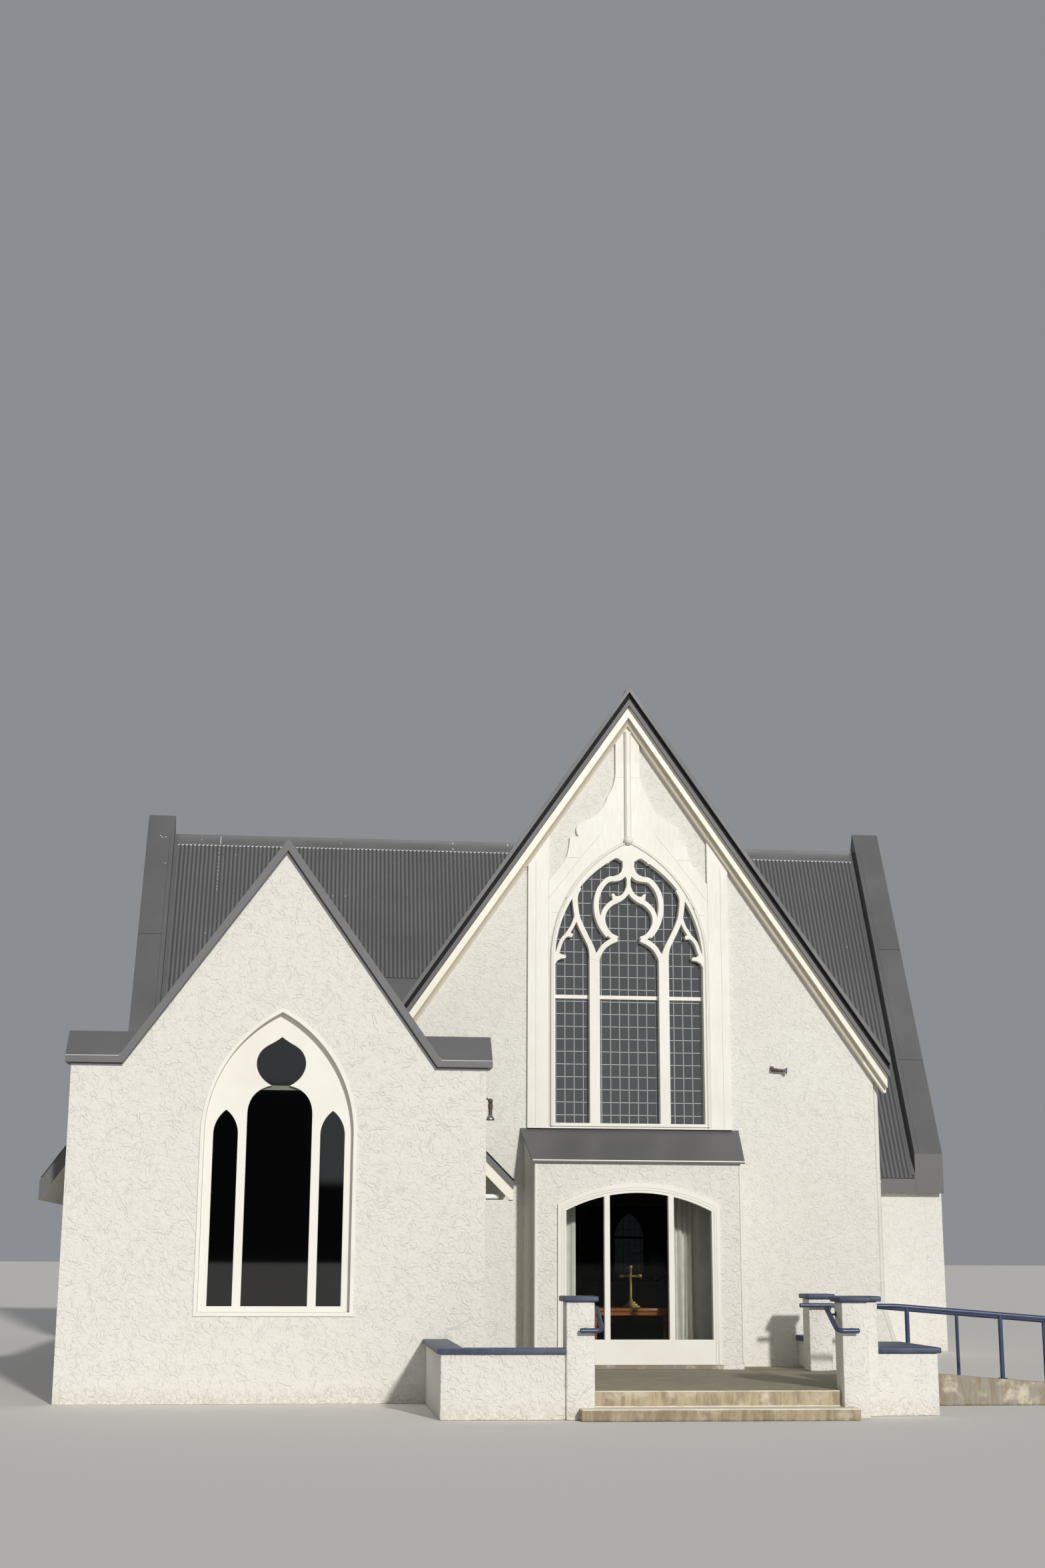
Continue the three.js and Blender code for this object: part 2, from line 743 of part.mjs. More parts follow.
function wingFrontWall() {
  const { axis, half } = WING;
  const outline = outlineOf([
    [axis - half, 0],
    [axis + half, 0],
    ...parapetLine(half, 0).reverse(),
  ]);
  outline.holes.push(pointedArch(WING_WINDOW, axis));
  add("wing_front_wall", extrude(outline, "y", WING.front, WING.front + WALL), STUCCO);

  const ring = pointedArch(WING_WINDOW, axis, 42);
  ring.holes.push(pointedArch(WING_WINDOW, axis));
  const surround = extrude(ring, "y", WING.front - 18, WING.front - SEAM);
  add("wing_window_surround", surround, WHITE_TRIM);
}

function wingWindow() {
  const { axis } = WING;
  const sill = 1010;
  const light = new THREE.Shape();
  light.moveTo(axis - 360, sill);
  light.lineTo(axis + 360, sill);
  light.lineTo(axis + 360, 3080);
  light.bezierCurveTo(axis + 355, 3300, axis + 205, 3370, axis + 100, 3390);
  light.bezierCurveTo(axis + 318, 3500, axis + 330, 3740, axis + 145, 3840);
  light.quadraticCurveTo(axis + 50, 3890, axis, 3934);
  light.quadraticCurveTo(axis - 50, 3890, axis - 145, 3840);
  light.bezierCurveTo(axis - 330, 3740, axis - 318, 3500, axis - 100, 3390);
  light.bezierCurveTo(axis - 205, 3370, axis - 355, 3300, axis - 360, 3080);
  light.closePath();
  const front = WING.front + 85;
  const back = front + 50;
  const panel = extrude(pointedArch(WING_WINDOW, axis, -SEAM), "y", front, back);
  const lancet = { half: 136, sill, spring: 2850, apex: 3120 };
  const lights = [light, pointedArch(lancet, axis - 590), pointedArch(lancet, axis + 590)];
  const holes = lights.map((shape) => extrude(shape, "y", front - 50, back + 50));
  add("wing_window_panel", cut(panel, ...holes), WHITE_TRIM);
  const pane = pointedArch(WING_WINDOW, axis, -SEAM);
  add("wing_window_glass", extrude(pane, "y", back + SEAM, back + SEAM + GLASS), DARK_GLASS);
}

const DOOR = { near: -1500, far: -580, head: 2330, leaf: 45 };

// A plain closed leaf in its frame, with two sunk panels on the outside
function entranceDoor(face) {
  const [x0, x1] = [face - 120, face - 120 + DOOR.leaf];
  const leaf = box(x0, x1, DOOR.near + SEAM, DOOR.far - SEAM, FLOOR_TOP + SEAM, DOOR.head - SEAM);
  const middle = (DOOR.near + DOOR.far) / 2;
  const panels = [
    [DOOR.near + 120, middle - 50],
    [middle + 50, DOOR.far - 120],
  ].map(([near, far]) => box(x1 - 12, x1 + 10, near, far, FLOOR_TOP + 180, DOOR.head - 140));
  add("entrance_door", cut(leaf, ...panels), SLATE_PAINT);
}

const wingUnder = (x) => wingLine(x) - WING_ROOF_DROP - SEAM_DROP;

function wingSideWalls() {
  const { axis, half, front } = WING;
  const outer = axis - half;
  const inner = outer + WALL;
  const leftOutline = [
    [outer, 0],
    [inner, 0],
    [inner, wingUnder(inner)],
    [outer, wingUnder(outer)],
  ];
  const left = wallAlongY(leftOutline, front + WALL, naveFront, WING_WINDOWS, LANCET);
  const eave = naveFront - NAVE.eaveReach - 1;
  const parapetEnd = box(outer - 50, -parapetInner + SEAM, eave, naveFront + 50, naveUnder(eave) - 1, 4000);
  add("wing_left_wall", cut(left, parapetEnd), STUCCO);
  const rightOuter = axis + half;
  const rightInner = rightOuter - WALL;
  const rightOutline = [
    [rightInner, 0],
    [rightOuter, 0],
    [rightOuter, wingUnder(rightOuter)],
    [rightInner, wingUnder(rightInner)],
  ];
  const doorway = box(rightInner - 50, rightOuter + 50, DOOR.near, DOOR.far, FLOOR_TOP, DOOR.head);
  add("wing_right_wall", cut(extrude(rightOutline, "y", front + WALL, 0), doorway), STUCCO);
  entranceDoor(rightOuter);
  const glass = box(inner + SEAM, inner + SEAM + GLASS, 350, 7850, 1050, 2500);
  add("wing_side_glass", glass, DARK_GLASS);
}

// Folded metal over the parapet: a fascia that follows the rakes and the level shoulders, a
// narrow strip set back under it, and behind each shoulder's fascia a slope that rises at 45
// degrees until it dies into the rake
const COPING = {
  front: -2045,
  stripFront: -2004,
  back: -1655,
  outerApex: 6183,
  pitch: 1.397,
  crease: 3687,
  endReach: 63,
  foot: 3612, // the fascia's lower edge on the shoulders
  footApex: 6043, // and at its point
  slopeTop: 3985,
};

function wingCoping() {
  const { axis, half } = WING;
  const { front, stripFront, back, outerApex, pitch, crease, endReach, foot, footApex, slopeTop } = COPING;
  const end = half + endReach;
  const mirrored = (points) => [
    ...points.map(([x, z]) => [axis - x, z]),
    ...[...points].reverse().slice(1).map(([x, z]) => [axis + x, z]),
  ];
  const fasciaFoot = [
    [end, foot],
    [(footApex - foot) / pitch, foot],
    [0, footApex],
  ];
  const creaseHalf = (outerApex - crease) / pitch;
  const top = [
    [end, crease],
    [creaseHalf, crease],
    [0, outerApex],
  ];
  const fascia = extrude([...mirrored(fasciaFoot), ...mirrored(top).reverse()], "y", front, back);
  const stripReach = half + 8;
  const raised = fasciaFoot.map(([x, z]) => [Math.min(x, stripReach), z + 1]);
  const stripOutline = [...parapetLine(stripReach, SEAM_DROP), ...mirrored(raised).reverse()];
  const strip = extrude(stripOutline, "y", stripFront, back);
  const wedge = [
    [front, crease - 1],
    [back, crease - 1],
    [back, slopeTop],
    [front + slopeTop - crease, slopeTop],
    [front, crease],
  ];
  const reach = creaseHalf - 300;
  const left = extrude(wedge, "x", axis - end, axis - reach);
  const right = extrude(wedge, "x", axis + reach, axis + end);
  const underFascia = extrude(
    [[axis - end, 3000], ...mirrored(fasciaFoot), [axis + end, 3000]],
    "y",
    front - 10,
    back + 10,
  );
  const slopes = [left, right].map((slope) => cut(slope, underFascia));
  add("wing_coping", join(fascia, strip, ...slopes), ROOF_METAL);
}

// The lean-to in the corner between the wing and the bay
const LEAN_TO = {
  front: -450,
  wallTop: 2200,
  right: -1468,
  below: 18, // its top starts this far under the wing's roof
  thickness: 58,
  boardDepth: 122,
};

function leanTo() {
  const high = wingLine(wingRight) - LEAN_TO.below;
  const line = (x) => high - (x - wingRight);
  const drop = slopeDrop(LEAN_TO.thickness, 1);
  const start = wingRight + SEAM;
  const end = LEAN_TO.right - 20;
  const roof = [
    [start, line(start) - drop],
    [end, line(end) - drop],
    [end, line(end)],
    [start, line(start)],
  ];
  add("lean_to_roof", extrude(roof, "y", LEAN_TO.front - 60, -SEAM), ROOF_METAL);
  const top = drop + SEAM * 2;
  const depth = slopeDrop(LEAN_TO.boardDepth, 1);
  const boardEnd = end - 2;
  const level = LEAN_TO.wallTop + SEAM; // the board's lower edge turns level on the wall's top
  const turn = wingRight + high - top - depth - level;
  const board = [
    [start, line(start) - top - depth],
    [turn, level],
    [boardEnd, level],
    [boardEnd, line(boardEnd) - top],
    [start, line(start) - top],
  ];
  const face = [LEAN_TO.front - 30, LEAN_TO.front + 20];
  add("lean_to_bargeboard", extrude(board, "y", ...face), CREAM_BOARD);
  const plan = [
    [start, LEAN_TO.front],
    [LEAN_TO.right, LEAN_TO.front],
    [LEAN_TO.right, -SEAM],
    [LEAN_TO.right - 150, -SEAM],
    [LEAN_TO.right - 150, LEAN_TO.front + 150],
    [start, LEAN_TO.front + 150],
  ];
  add("lean_to_wall", extrude(plan, "z", FLOOR_TOP + SEAM, LEAN_TO.wallTop), STUCCO);
}

// The nave

const naveUnder = (y) => naveLine(y) - NAVE_ROOF_DROP - SEAM_DROP;
const NAVE_FRONT_WINDOWS = [4100, 5600];
const NAVE_BACK_WINDOWS = [-5000, -2500, 0, 2500, 5000];
const END_LANCETS = [
  [-1150, 3100],
  [0, 3900],
  [1150, 3100],
];
const OPENING_HEAD = 2600;

function naveWalls() {
  const inner = NAVE.half - WALL;
  const hole = (x, window) => extrude(pointedArch(window, x), "y", naveFront - 500, naveBack + 500);
  const doorway = (from, to) => box(from, to, naveFront - 50, naveFront + WALL + 50, -10, OPENING_HEAD);
  const frontOutline = [
    [naveFront, 0],
    [naveFront + WALL, 0],
    [naveFront + WALL, naveUnder(naveFront + WALL)],
    [naveFront, naveUnder(naveFront)],
  ];
  const front = extrude(frontOutline, "x", -inner, inner);
  const wingRoom = doorway(WING.axis - WING.half + WALL, -GABLE.half);
  const hallRoom = doorway(-GABLE.half + WALL, GABLE.half - WALL);
  const frontHoles = NAVE_FRONT_WINDOWS.map((x) =>
    extrude(pointedArch(LANCET, x), "y", naveFront - 50, naveFront + WALL + 50));
  add("nave_front_wall", cut(front, wingRoom, hallRoom, ...frontHoles), STUCCO);

  const backOutline = frontOutline.map(([y, z]) => [2 * NAVE.ridgeY - y, z]).reverse();
  const back = extrude(backOutline, "x", -inner, inner);
  const backHoles = NAVE_BACK_WINDOWS.map((x) => hole(x, LANCET));
  add("nave_back_wall", cut(back, ...backHoles), STUCCO);

  for (const side of [-1, 1]) {
    const name = side < 0 ? "left" : "right";
    const outline = [
      [naveFront, 0],
      [naveBack, 0],
      [naveBack, naveUnder(naveBack)],
      [NAVE.ridgeY, naveUnder(NAVE.ridgeY)],
      [naveFront, naveUnder(naveFront)],
    ];
    const [from, to] = side < 0 ? [-NAVE.half, -inner] : [inner, NAVE.half];
    const lancets = END_LANCETS.map(([y, apex]) => {
      const lancet = { half: 360, sill: 1150, spring: apex - 620, apex };
      return extrude(pointedArch(lancet, NAVE.ridgeY + y), "x", from - 50, to + 50);
    });
    add("nave_end_wall_" + name, cut(extrude(outline, "x", from, to), ...lancets), STUCCO);
    const glassX = side < 0 ? -inner + SEAM : inner - SEAM - GLASS;
    const glass = box(glassX, glassX + GLASS, NAVE.ridgeY - 1600, NAVE.ridgeY + 1600, 1050, 4000);
    add("nave_end_glass_" + name, glass, DARK_GLASS);
    parapet(name, side);
  }
  const backGlass = naveBack - WALL - SEAM - GLASS;
  add("nave_back_glass", box(-5450, 5450, backGlass, backGlass + GLASS, 1050, 2500), DARK_GLASS);
  const frontGlass = naveFront + WALL + SEAM;
  add("nave_front_glass", box(3650, 6050, frontGlass, frontGlass + GLASS, 1050, 2500), DARK_GLASS);
}

// A metal-clad parapet that stands above the roof along each end wall
function parapet(name, side) {
  const reach = naveReach;
  const foot = naveLine(NAVE.ridgeY - reach) - NAVE_ROOF_DROP;
  const raised = (y) => naveLine(y) + NAVE.parapetRise;
  const low = NAVE.ridgeY - reach;
  const high = NAVE.ridgeY + reach;
  const flat = 10;
  const outline = [
    [low, foot],
    [NAVE.ridgeY, NAVE.ridge - NAVE_ROOF_DROP],
    [high, foot],
    [high, raised(high)],
    [NAVE.ridgeY + flat, raised(NAVE.ridgeY + flat)],
    [NAVE.ridgeY - flat, raised(NAVE.ridgeY - flat)],
    [low, raised(low)],
  ];
  const [from, to] = side < 0 ? [-NAVE.half, -parapetInner] : [parapetInner, NAVE.half];
  add("nave_parapet_" + name, extrude(outline, "x", from, to), ROOF_METAL);
}

// The floor inside: one slab under the nave, the hall and the wing
function floorSlab() {
  const left = WING.axis - WING.half + WALL;
  const side = NAVE.half - WALL;
  const back = naveBack - WALL;
  const shape = join(
    box(-side, side, naveFront + WALL, back, 0, FLOOR_TOP),
    box(-GABLE.half + WALL, GABLE.half - WALL, WALL, naveFront + WALL + 1, 0, FLOOR_TOP),
    box(left, -GABLE.half, 0, naveFront + WALL + 1, 0, FLOOR_TOP),
    box(left, wingRight - WALL, WING.front + WALL, 0, 0, FLOOR_TOP),
  );
  add("floor_slab", shape, CONCRETE);
}

// The forecourt: terrace, steps, masonry piers with low walls, and a ramp with its railings

const PIER_CAP_REACH = 36;
const LOW_CAP_REACH = 32;
const RISER = -4200; // the upper step's face, between the front piers
const LOWER_STEP = { left: -1240, right: 1530, front: -4480 };
const LEFT_PIER = { left: -1366, right: -1084, front: -4300, back: -4020 };
const RIGHT_PIER = { left: 1416, right: 1679, front: -4300, shoulder: -4010, step: 1520, back: -3730 };
const RIGHT_BLOCK = { left: 1865, right: 2500, front: -3950, back: -2600 };
const LEFT_RUN = { left: -2600, front: -4250, back: -4050, thickness: 200 };
const BACK_PIER = { left: 1930, right: 2201, front: -1000, back: -700 };
const BACK_RUN = { left: 2045, right: 2201 };
const LANDING = { right: 2500, back: -1000 };
const TERRACE_BACK_EDGE = 2280; // the terrace's right edge behind the landing

const rectangle = ({ left, right, front, back }) => [
  [left, front],
  [right, front],
  [right, back],
  [left, back],
];

const leftRunPlan = [
  [LEFT_RUN.left, LEFT_RUN.front],
  [LEFT_PIER.left + 1, LEFT_RUN.front],
  [LEFT_PIER.left + 1, LEFT_RUN.back],
  [LEFT_RUN.left + LEFT_RUN.thickness, LEFT_RUN.back],
  [LEFT_RUN.left + LEFT_RUN.thickness, WING.front - SEAM],
  [LEFT_RUN.left, WING.front - SEAM],
];
const rightPierPlan = [
  [RIGHT_PIER.left, RIGHT_PIER.front],
  [RIGHT_PIER.right, RIGHT_PIER.front],
  [RIGHT_PIER.right, RIGHT_PIER.shoulder],
  [RIGHT_BLOCK.left, RIGHT_PIER.shoulder],
  [RIGHT_BLOCK.left, RIGHT_PIER.back],
  [RIGHT_PIER.step, RIGHT_PIER.back],
  [RIGHT_PIER.step, RIGHT_PIER.shoulder],
  [RIGHT_PIER.left, RIGHT_PIER.shoulder],
];
const backRunPlan = rectangle({ ...BACK_RUN, front: BACK_PIER.back - 1, back: -SEAM });

const FORECOURT = [
  {
    name: "left",
    pier: rectangle(LEFT_PIER),
    run: leftRunPlan,
    foot: 0,
    pierTop: 1120,
    pierCap: 1173,
    runTop: 622,
    runCap: 673,
  },
  {
    name: "right",
    pier: rightPierPlan,
    run: rectangle(RIGHT_BLOCK),
    foot: 0,
    pierTop: 1120,
    pierCap: 1173,
    runTop: 612,
    runCap: 668,
  },
  {
    name: "back",
    pier: rectangle(BACK_PIER),
    run: backRunPlan,
    foot: FLOOR_TOP + SEAM,
    pierTop: 1083,
    pierCap: 1137,
    runTop: 578,
    runCap: 640,
  },
];

// Moves each side of a plan outwards by the same amount. Corners are given anticlockwise.
function grown(plan, reach) {
  return plan.map((corner, i) => {
    const before = plan[(i + plan.length - 1) % plan.length];
    const after = plan[(i + 1) % plan.length];
    const side = (a, b) => {
      const along = new THREE.Vector2(b[0] - a[0], b[1] - a[1]).normalize();
      return new THREE.Vector2(along.y, -along.x);
    };
    const [n, m] = [side(before, corner), side(corner, after)];
    const scale = reach / (1 + n.dot(m));
    return [corner[0] + (n.x + m.x) * scale, corner[1] + (n.y + m.y) * scale];
  });
}

// The building's own walls, a hairline larger, which the low walls' caps stop against
const wallsBehind = [
  box(-GABLE.half, GABLE.half, -SEAM, 100, -10, 3000),
  box(WING.axis - WING.half, wingRight + SEAM, WING.front - SEAM, 100, -10, 3000),
];

function forecourtWalls() {
  for (const { name, pier, run, foot, pierTop, pierCap, runTop, runCap } of FORECOURT) {
    const masonry = join(extrude(pier, "z", foot, pierTop), extrude(run, "z", foot, runTop));
    add("forecourt_wall_" + name, masonry, STUCCO);
    const high = extrude(grown(pier, PIER_CAP_REACH), "z", pierTop + SEAM, pierCap);
    add("pier_cap_" + name, high, SLATE_PAINT);
    const low = extrude(grown(run, LOW_CAP_REACH), "z", runTop + SEAM, runCap);
    const pierBody = extrude(grown(pier, SEAM), "z", 0, pierTop);
    add("low_wall_cap_" + name, cut(low, pierBody, ...wallsBehind), SLATE_PAINT);
  }
}

function terraceAndSteps() {
  const near = SEAM; // the slab stops a hairline short of everything that stands beside it
  const plan = [
    [LEFT_RUN.left + LEFT_RUN.thickness + near, WING.front - near],
    [LEFT_RUN.left + LEFT_RUN.thickness + near, LEFT_RUN.back + near],
    [LEFT_PIER.left - near, LEFT_RUN.back + near],
    [LEFT_PIER.left - near, LEFT_PIER.back + near],
    [LEFT_PIER.right + near, LEFT_PIER.back + near],
    [LEFT_PIER.right + near, RISER],
    [RIGHT_PIER.left - near, RISER],
    [RIGHT_PIER.left - near, RIGHT_PIER.shoulder + near],
    [RIGHT_PIER.step - near, RIGHT_PIER.shoulder + near],
    [RIGHT_PIER.step - near, RIGHT_PIER.back + near],
    [RIGHT_BLOCK.left - near, RIGHT_PIER.back + near],
    [RIGHT_BLOCK.left - near, RIGHT_BLOCK.back + near],
    [LANDING.right - near, RIGHT_BLOCK.back + near],
    [LANDING.right - near, LANDING.back],
    [TERRACE_BACK_EDGE, LANDING.back],
    [TERRACE_BACK_EDGE, -near],
    [BAY.backHalf + near, -near],
    [BAY.frontHalf + near, BAY.front - near],
    [-BAY.frontHalf - near, BAY.front - near],
    [-BAY.backHalf - near, -near],
    [wingRight + near, -near],
    [wingRight + near, WING.front - near],
  ];
  const step = [
    [LOWER_STEP.left, LOWER_STEP.front],
    [LOWER_STEP.right, LOWER_STEP.front],
    [LOWER_STEP.right, RIGHT_PIER.front - near],
    [RIGHT_PIER.left - near, RIGHT_PIER.front - near],
    [RIGHT_PIER.left - near, RISER + 1],
    [LEFT_PIER.right + near, RISER + 1],
    [LEFT_PIER.right + near, LEFT_PIER.front - near],
    [LOWER_STEP.left, LEFT_PIER.front - near],
  ];
  const upper = extrude(plan, "z", 0, FLOOR_TOP);
  const lower = extrude(step, "z", 0, LOWER_STEP_TOP);
  add("terrace_and_steps", join(upper, lower), CONCRETE);
}

const RAMP = { start: 2500, end: 5900, lip: 12, kerb: 110, kerbRise: 95 };
const rampTop = (x) =>
  x < RAMP.start
    ? FLOOR_TOP
    : FLOOR_TOP - ((x - RAMP.start) * (FLOOR_TOP - RAMP.lip)) / (RAMP.end - RAMP.start);

function ramp() {
  const slope = (rise) => [
    [RAMP.start, 0],
    [RAMP.end, 0],
    [RAMP.end, RAMP.lip + rise],
    [RAMP.start, FLOOR_TOP + rise],
  ];
  const front = RIGHT_BLOCK.back + SEAM;
  const wedge = extrude(slope(0), "y", front, LANDING.back);
  const kerb = extrude(slope(RAMP.kerbRise), "y", front, front + RAMP.kerb);
  add("ramp", join(wedge, kerb), CONCRETE);
}

// Two pipe railings, level beside the landing and falling with the ramp
const RAIL = { pipe: 50, first: 2625, bay: 1050, bays: 3, tail: 120 };

function rampRailings() {
  for (const { name, y, start, from, height, foot, post } of [
    {
      name: "front",
      y: RIGHT_BLOCK.back + SEAM + RAMP.kerb / 2,
      start: RIGHT_BLOCK.left - 65,
      from: RIGHT_PIER.back + SEAM, // the front one starts on the right pier's back
      height: 772,
      foot: RAMP.kerbRise,
      post: 50,
    },
    { name: "rear", y: LANDING.back - 70, start: 1810, height: 740, foot: 0, post: 40 },
  ]) {
    const top = (x) => rampTop(x) + height;
    const last = RAIL.first + RAIL.bay * RAIL.bays;
    const bends = [start, RAMP.start, last + RAIL.tail].map((x) => at(x, y, top(x)));
    if (from) bends.unshift(at(start, from, top(start)));
    const rail = pipe(bends, RAIL.pipe);
    const posts = [];
    for (let i = 0; i <= RAIL.bays; i += 1) {
      const x = RAIL.first + RAIL.bay * i;
      const base = rampTop(x - post / 2) + foot + SEAM;
      posts.push(box(x - post / 2, x + post / 2, y - 10, y + 10, base, top(x)));
    }
    add("ramp_railing_" + name, join(rail, ...posts), RAIL_PAINT);
  }
}

// Bent pipe handrails on the two front piers, standing off the faces on short stubs
const HANDRAIL = { offset: 66, low: 846, high: 1050, front: 150, back: -3960, bend: 70 };

function stepHandrails() {
  const { offset, low, high, front, back, bend } = HANDRAIL;
  const y = LEFT_PIER.front - offset;
  for (const [name, face, side] of [
    ["left", LEFT_PIER.right, 1],
    ["right", RIGHT_PIER.left, -1],
  ]) {
    const x = face + side * offset;
    const outer = face - side * front;
    const rail = pipe([at(outer, y, low), at(x, y, low), at(x, back, high)], RAIL.pipe, bend);
    const stub = new THREE.CylinderGeometry(11, 11, offset - SEAM, 10);
    const onFront = stub.clone().translate(outer + side * 55, y + (offset - SEAM) / 2, low);
    const stubY = LEFT_PIER.back - 50;
    const stubZ = low + ((high - low) * (stubY - y)) / (back - y);
    const onSide = stub.clone().rotateZ(Math.PI / 2);
    onSide.translate(x - (side * (offset - SEAM)) / 2, stubY, stubZ);
    add("step_handrail_" + name, join(rail, onFront, onSide), RAIL_PAINT);
  }
}

function downpipe() {
  const radius = 35;
  const off = 1;
  const x = GABLE.half + radius + off;
  const y = 70;
  const top = gableUnder(GABLE.half) - 120;
  const foot = 60;
  const lean = BATTER.foot / BATTER.top;
  const path = [
    at(x, y, top),
    at(x, y, BATTER.top),
    at(x + (BATTER.top - foot) * lean + off, y, foot),
  ];
  add("downpipe", pipe(path, radius * 2, 60), PIPE_PAINT);
}

gableFrontWall();
hallSideWalls();
gableRoof();
bargeboards();
faceBoards();
tracery();
bay();
tableAndCross();
curtains();
wingFrontWall();
wingWindow();
wingSideWalls();
wingCoping();
wingRoof();
leanTo();
naveWalls();
naveRoof();
floorSlab();
terraceAndSteps();
forecourtWalls();
ramp();
rampRailings();
stepHandrails();
downpipe();

// The origin goes to the middle of the footprint, at ground level.
const bounds = new THREE.Box3().setFromObject(part);
const middle = bounds.getCenter(new THREE.Vector3());
part.position.set(-middle.x, -middle.y, -bounds.min.z);

export default part;
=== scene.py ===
# %% [markdown]
# # A white stuccoed church
#
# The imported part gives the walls, roofs and windows at their real size. This scene dresses
# them: corrugated sheeting and flashings on the roofs, leadwork in the windows, mouldings,
# curtains, lamps, and a procedural material for every finish. Units are metres, +Z is up.

import math
import random

import bmesh
import bpy
from mathutils import Matrix, Vector


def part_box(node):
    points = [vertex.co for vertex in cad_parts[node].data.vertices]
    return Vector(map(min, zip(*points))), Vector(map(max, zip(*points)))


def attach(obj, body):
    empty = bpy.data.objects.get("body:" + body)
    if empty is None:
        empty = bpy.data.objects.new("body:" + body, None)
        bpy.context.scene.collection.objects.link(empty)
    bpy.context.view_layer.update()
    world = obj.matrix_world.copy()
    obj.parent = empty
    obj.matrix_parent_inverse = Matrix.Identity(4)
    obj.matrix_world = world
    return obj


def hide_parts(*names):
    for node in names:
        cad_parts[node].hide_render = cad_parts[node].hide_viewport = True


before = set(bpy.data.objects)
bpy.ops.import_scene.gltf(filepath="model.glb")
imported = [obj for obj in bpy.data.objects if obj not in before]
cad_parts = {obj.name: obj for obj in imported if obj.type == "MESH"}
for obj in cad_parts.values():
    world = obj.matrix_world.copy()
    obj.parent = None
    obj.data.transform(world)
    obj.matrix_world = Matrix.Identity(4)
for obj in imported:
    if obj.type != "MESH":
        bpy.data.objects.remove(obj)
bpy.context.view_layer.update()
random.seed(5)

# %% [markdown]
# ## Sizes that the pieces share
#
# Depths are measured from the outer face of the front wall, so that the building can be read
# off its own faces wherever its origin lies.

# %% Shared sizes
WALL_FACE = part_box("gable_front_wall")[0].y
GABLE_PITCH = 1.445  # rise over run of the tall gable
WING_PITCH = 1.39
NAVE_PITCH = 2.0
GABLE_RIDGE = 8.635
GABLE_REACH = 3.23  # half the roof's width, eaves included
WING_AXIS = -4.26
WING_RIDGE = 6.1
WING_RIGHT = -1.96
NAVE_RIDGE = 9.198
NAVE_HALF = 6.52  # between the parapets
PARAPET_RISE = 0.387  # its top above the nave's roof, measured upright
# where the wing's roof and the gable's run into each other
VALLEY_X = -(GABLE_RIDGE - WING_RIDGE - WING_PITCH * WING_AXIS) / (GABLE_PITCH + WING_PITCH)
VALLEY_Z = GABLE_RIDGE + GABLE_PITCH * VALLEY_X
APRON_Z = 6.387  # the sheeting behind the two ridges stops on a flat apron here


def depth(y):
    """A place measured from the outer face of the front wall, in the row frame."""
    return WALL_FACE + y


NAVE_RIDGE_Y = depth(12.45)


def gable_line(x):
    return GABLE_RIDGE - GABLE_PITCH * abs(x)


def wing_line(x):
    return WING_RIDGE - WING_PITCH * abs(x - WING_AXIS)


def nave_line(y):
    return NAVE_RIDGE - NAVE_PITCH * abs(y - NAVE_RIDGE_Y)


# %% [markdown]
# ## Materials
#
# Colours are written as sRGB hex values and turned linear by one function. Another adds a node
# with its settings and links. Every pattern's scale comes from a real size in metres.

# %% Helpers for materials
def linear(code):
    """A linear colour from an sRGB hex value."""
    channels = [int(code[i : i + 2], 16) / 255 for i in (1, 3, 5)]
    return tuple(c / 12.92 if c <= 0.04045 else ((c + 0.055) / 1.055) ** 2.4 for c in channels) + (1.0,)


def node(tree, kind, settings=None, links=None):
    """Adds a node. Settings go to its inputs, by name or number, or else to its properties."""
    made = tree.nodes.new("ShaderNode" + kind)
    for key, value in (settings or {}).items():
        if isinstance(key, str) and key not in made.inputs:
            setattr(made, key, value)
    for key, value in (settings or {}).items():
        if not isinstance(key, str) or key in made.inputs:
            made.inputs[key].default_value = value
    for key, source in (links or {}).items():
        tree.links.new(source, made.inputs[key])
    return made


def empty_material(name):
    material = bpy.data.materials.new(name)
    material.use_nodes = True
    material.node_tree.nodes.clear()
    return material, material.node_tree


def start_material(name, color, roughness, **more):
    """A material with a Principled shader, that shader, and its object coordinates."""
    material, tree = empty_material(name)
    shader = node(tree, "BsdfPrincipled", {"Base Color": linear(color), "Roughness": roughness, **more})
    node(tree, "OutputMaterial", links={"Surface": shader.outputs[0]})
    return material, shader, node(tree, "TexCoord").outputs["Object"]


def maths(operation, a, b=None, kind="Math"):
    """One step of arithmetic on a socket, with a second socket or a fixed value."""
    made = node(a.id_data, kind, {"operation": operation}, {0: a})
    if isinstance(b, bpy.types.NodeSocket):
        a.id_data.links.new(b, made.inputs[1])
    elif b is not None:
        made.inputs[1].default_value = b
    return made.outputs[0]


def times(a, b, kind="Math"):
    return maths("MULTIPLY", a, b, kind)


def layers(*patterns):
    """The sum of patterns, each as deep as the number beside it."""
    total = None
    for pattern, deep in patterns:
        part = times(pattern, deep)
        total = part if total is None else maths("ADD", total, part)
    return total


def component(vector, index):
    return node(vector.id_data, "SeparateXYZ", links={0: vector}).outputs[index]


def blend(factor, a, b):
    """Mixes two colours, each a socket or a hex value."""
    mix = node(factor.id_data, "Mix", {"data_type": "RGBA"}, {0: factor})
    for index, value in ((6, a), (7, b)):
        if isinstance(value, str):
            mix.inputs[index].default_value = linear(value)
        else:
            factor.id_data.links.new(value, mix.inputs[index])
    return mix.outputs[2]


def ramp(source, low, high, to_low=0.0, to_high=1.0):
    """Maps a value from one range to another, smoothly, and keeps it inside."""
    settings = {"interpolation_type": "SMOOTHSTEP", 1: low, 2: high, 3: to_low, 4: to_high}
    return node(source.id_data, "MapRange", settings, {0: source}).outputs[0]


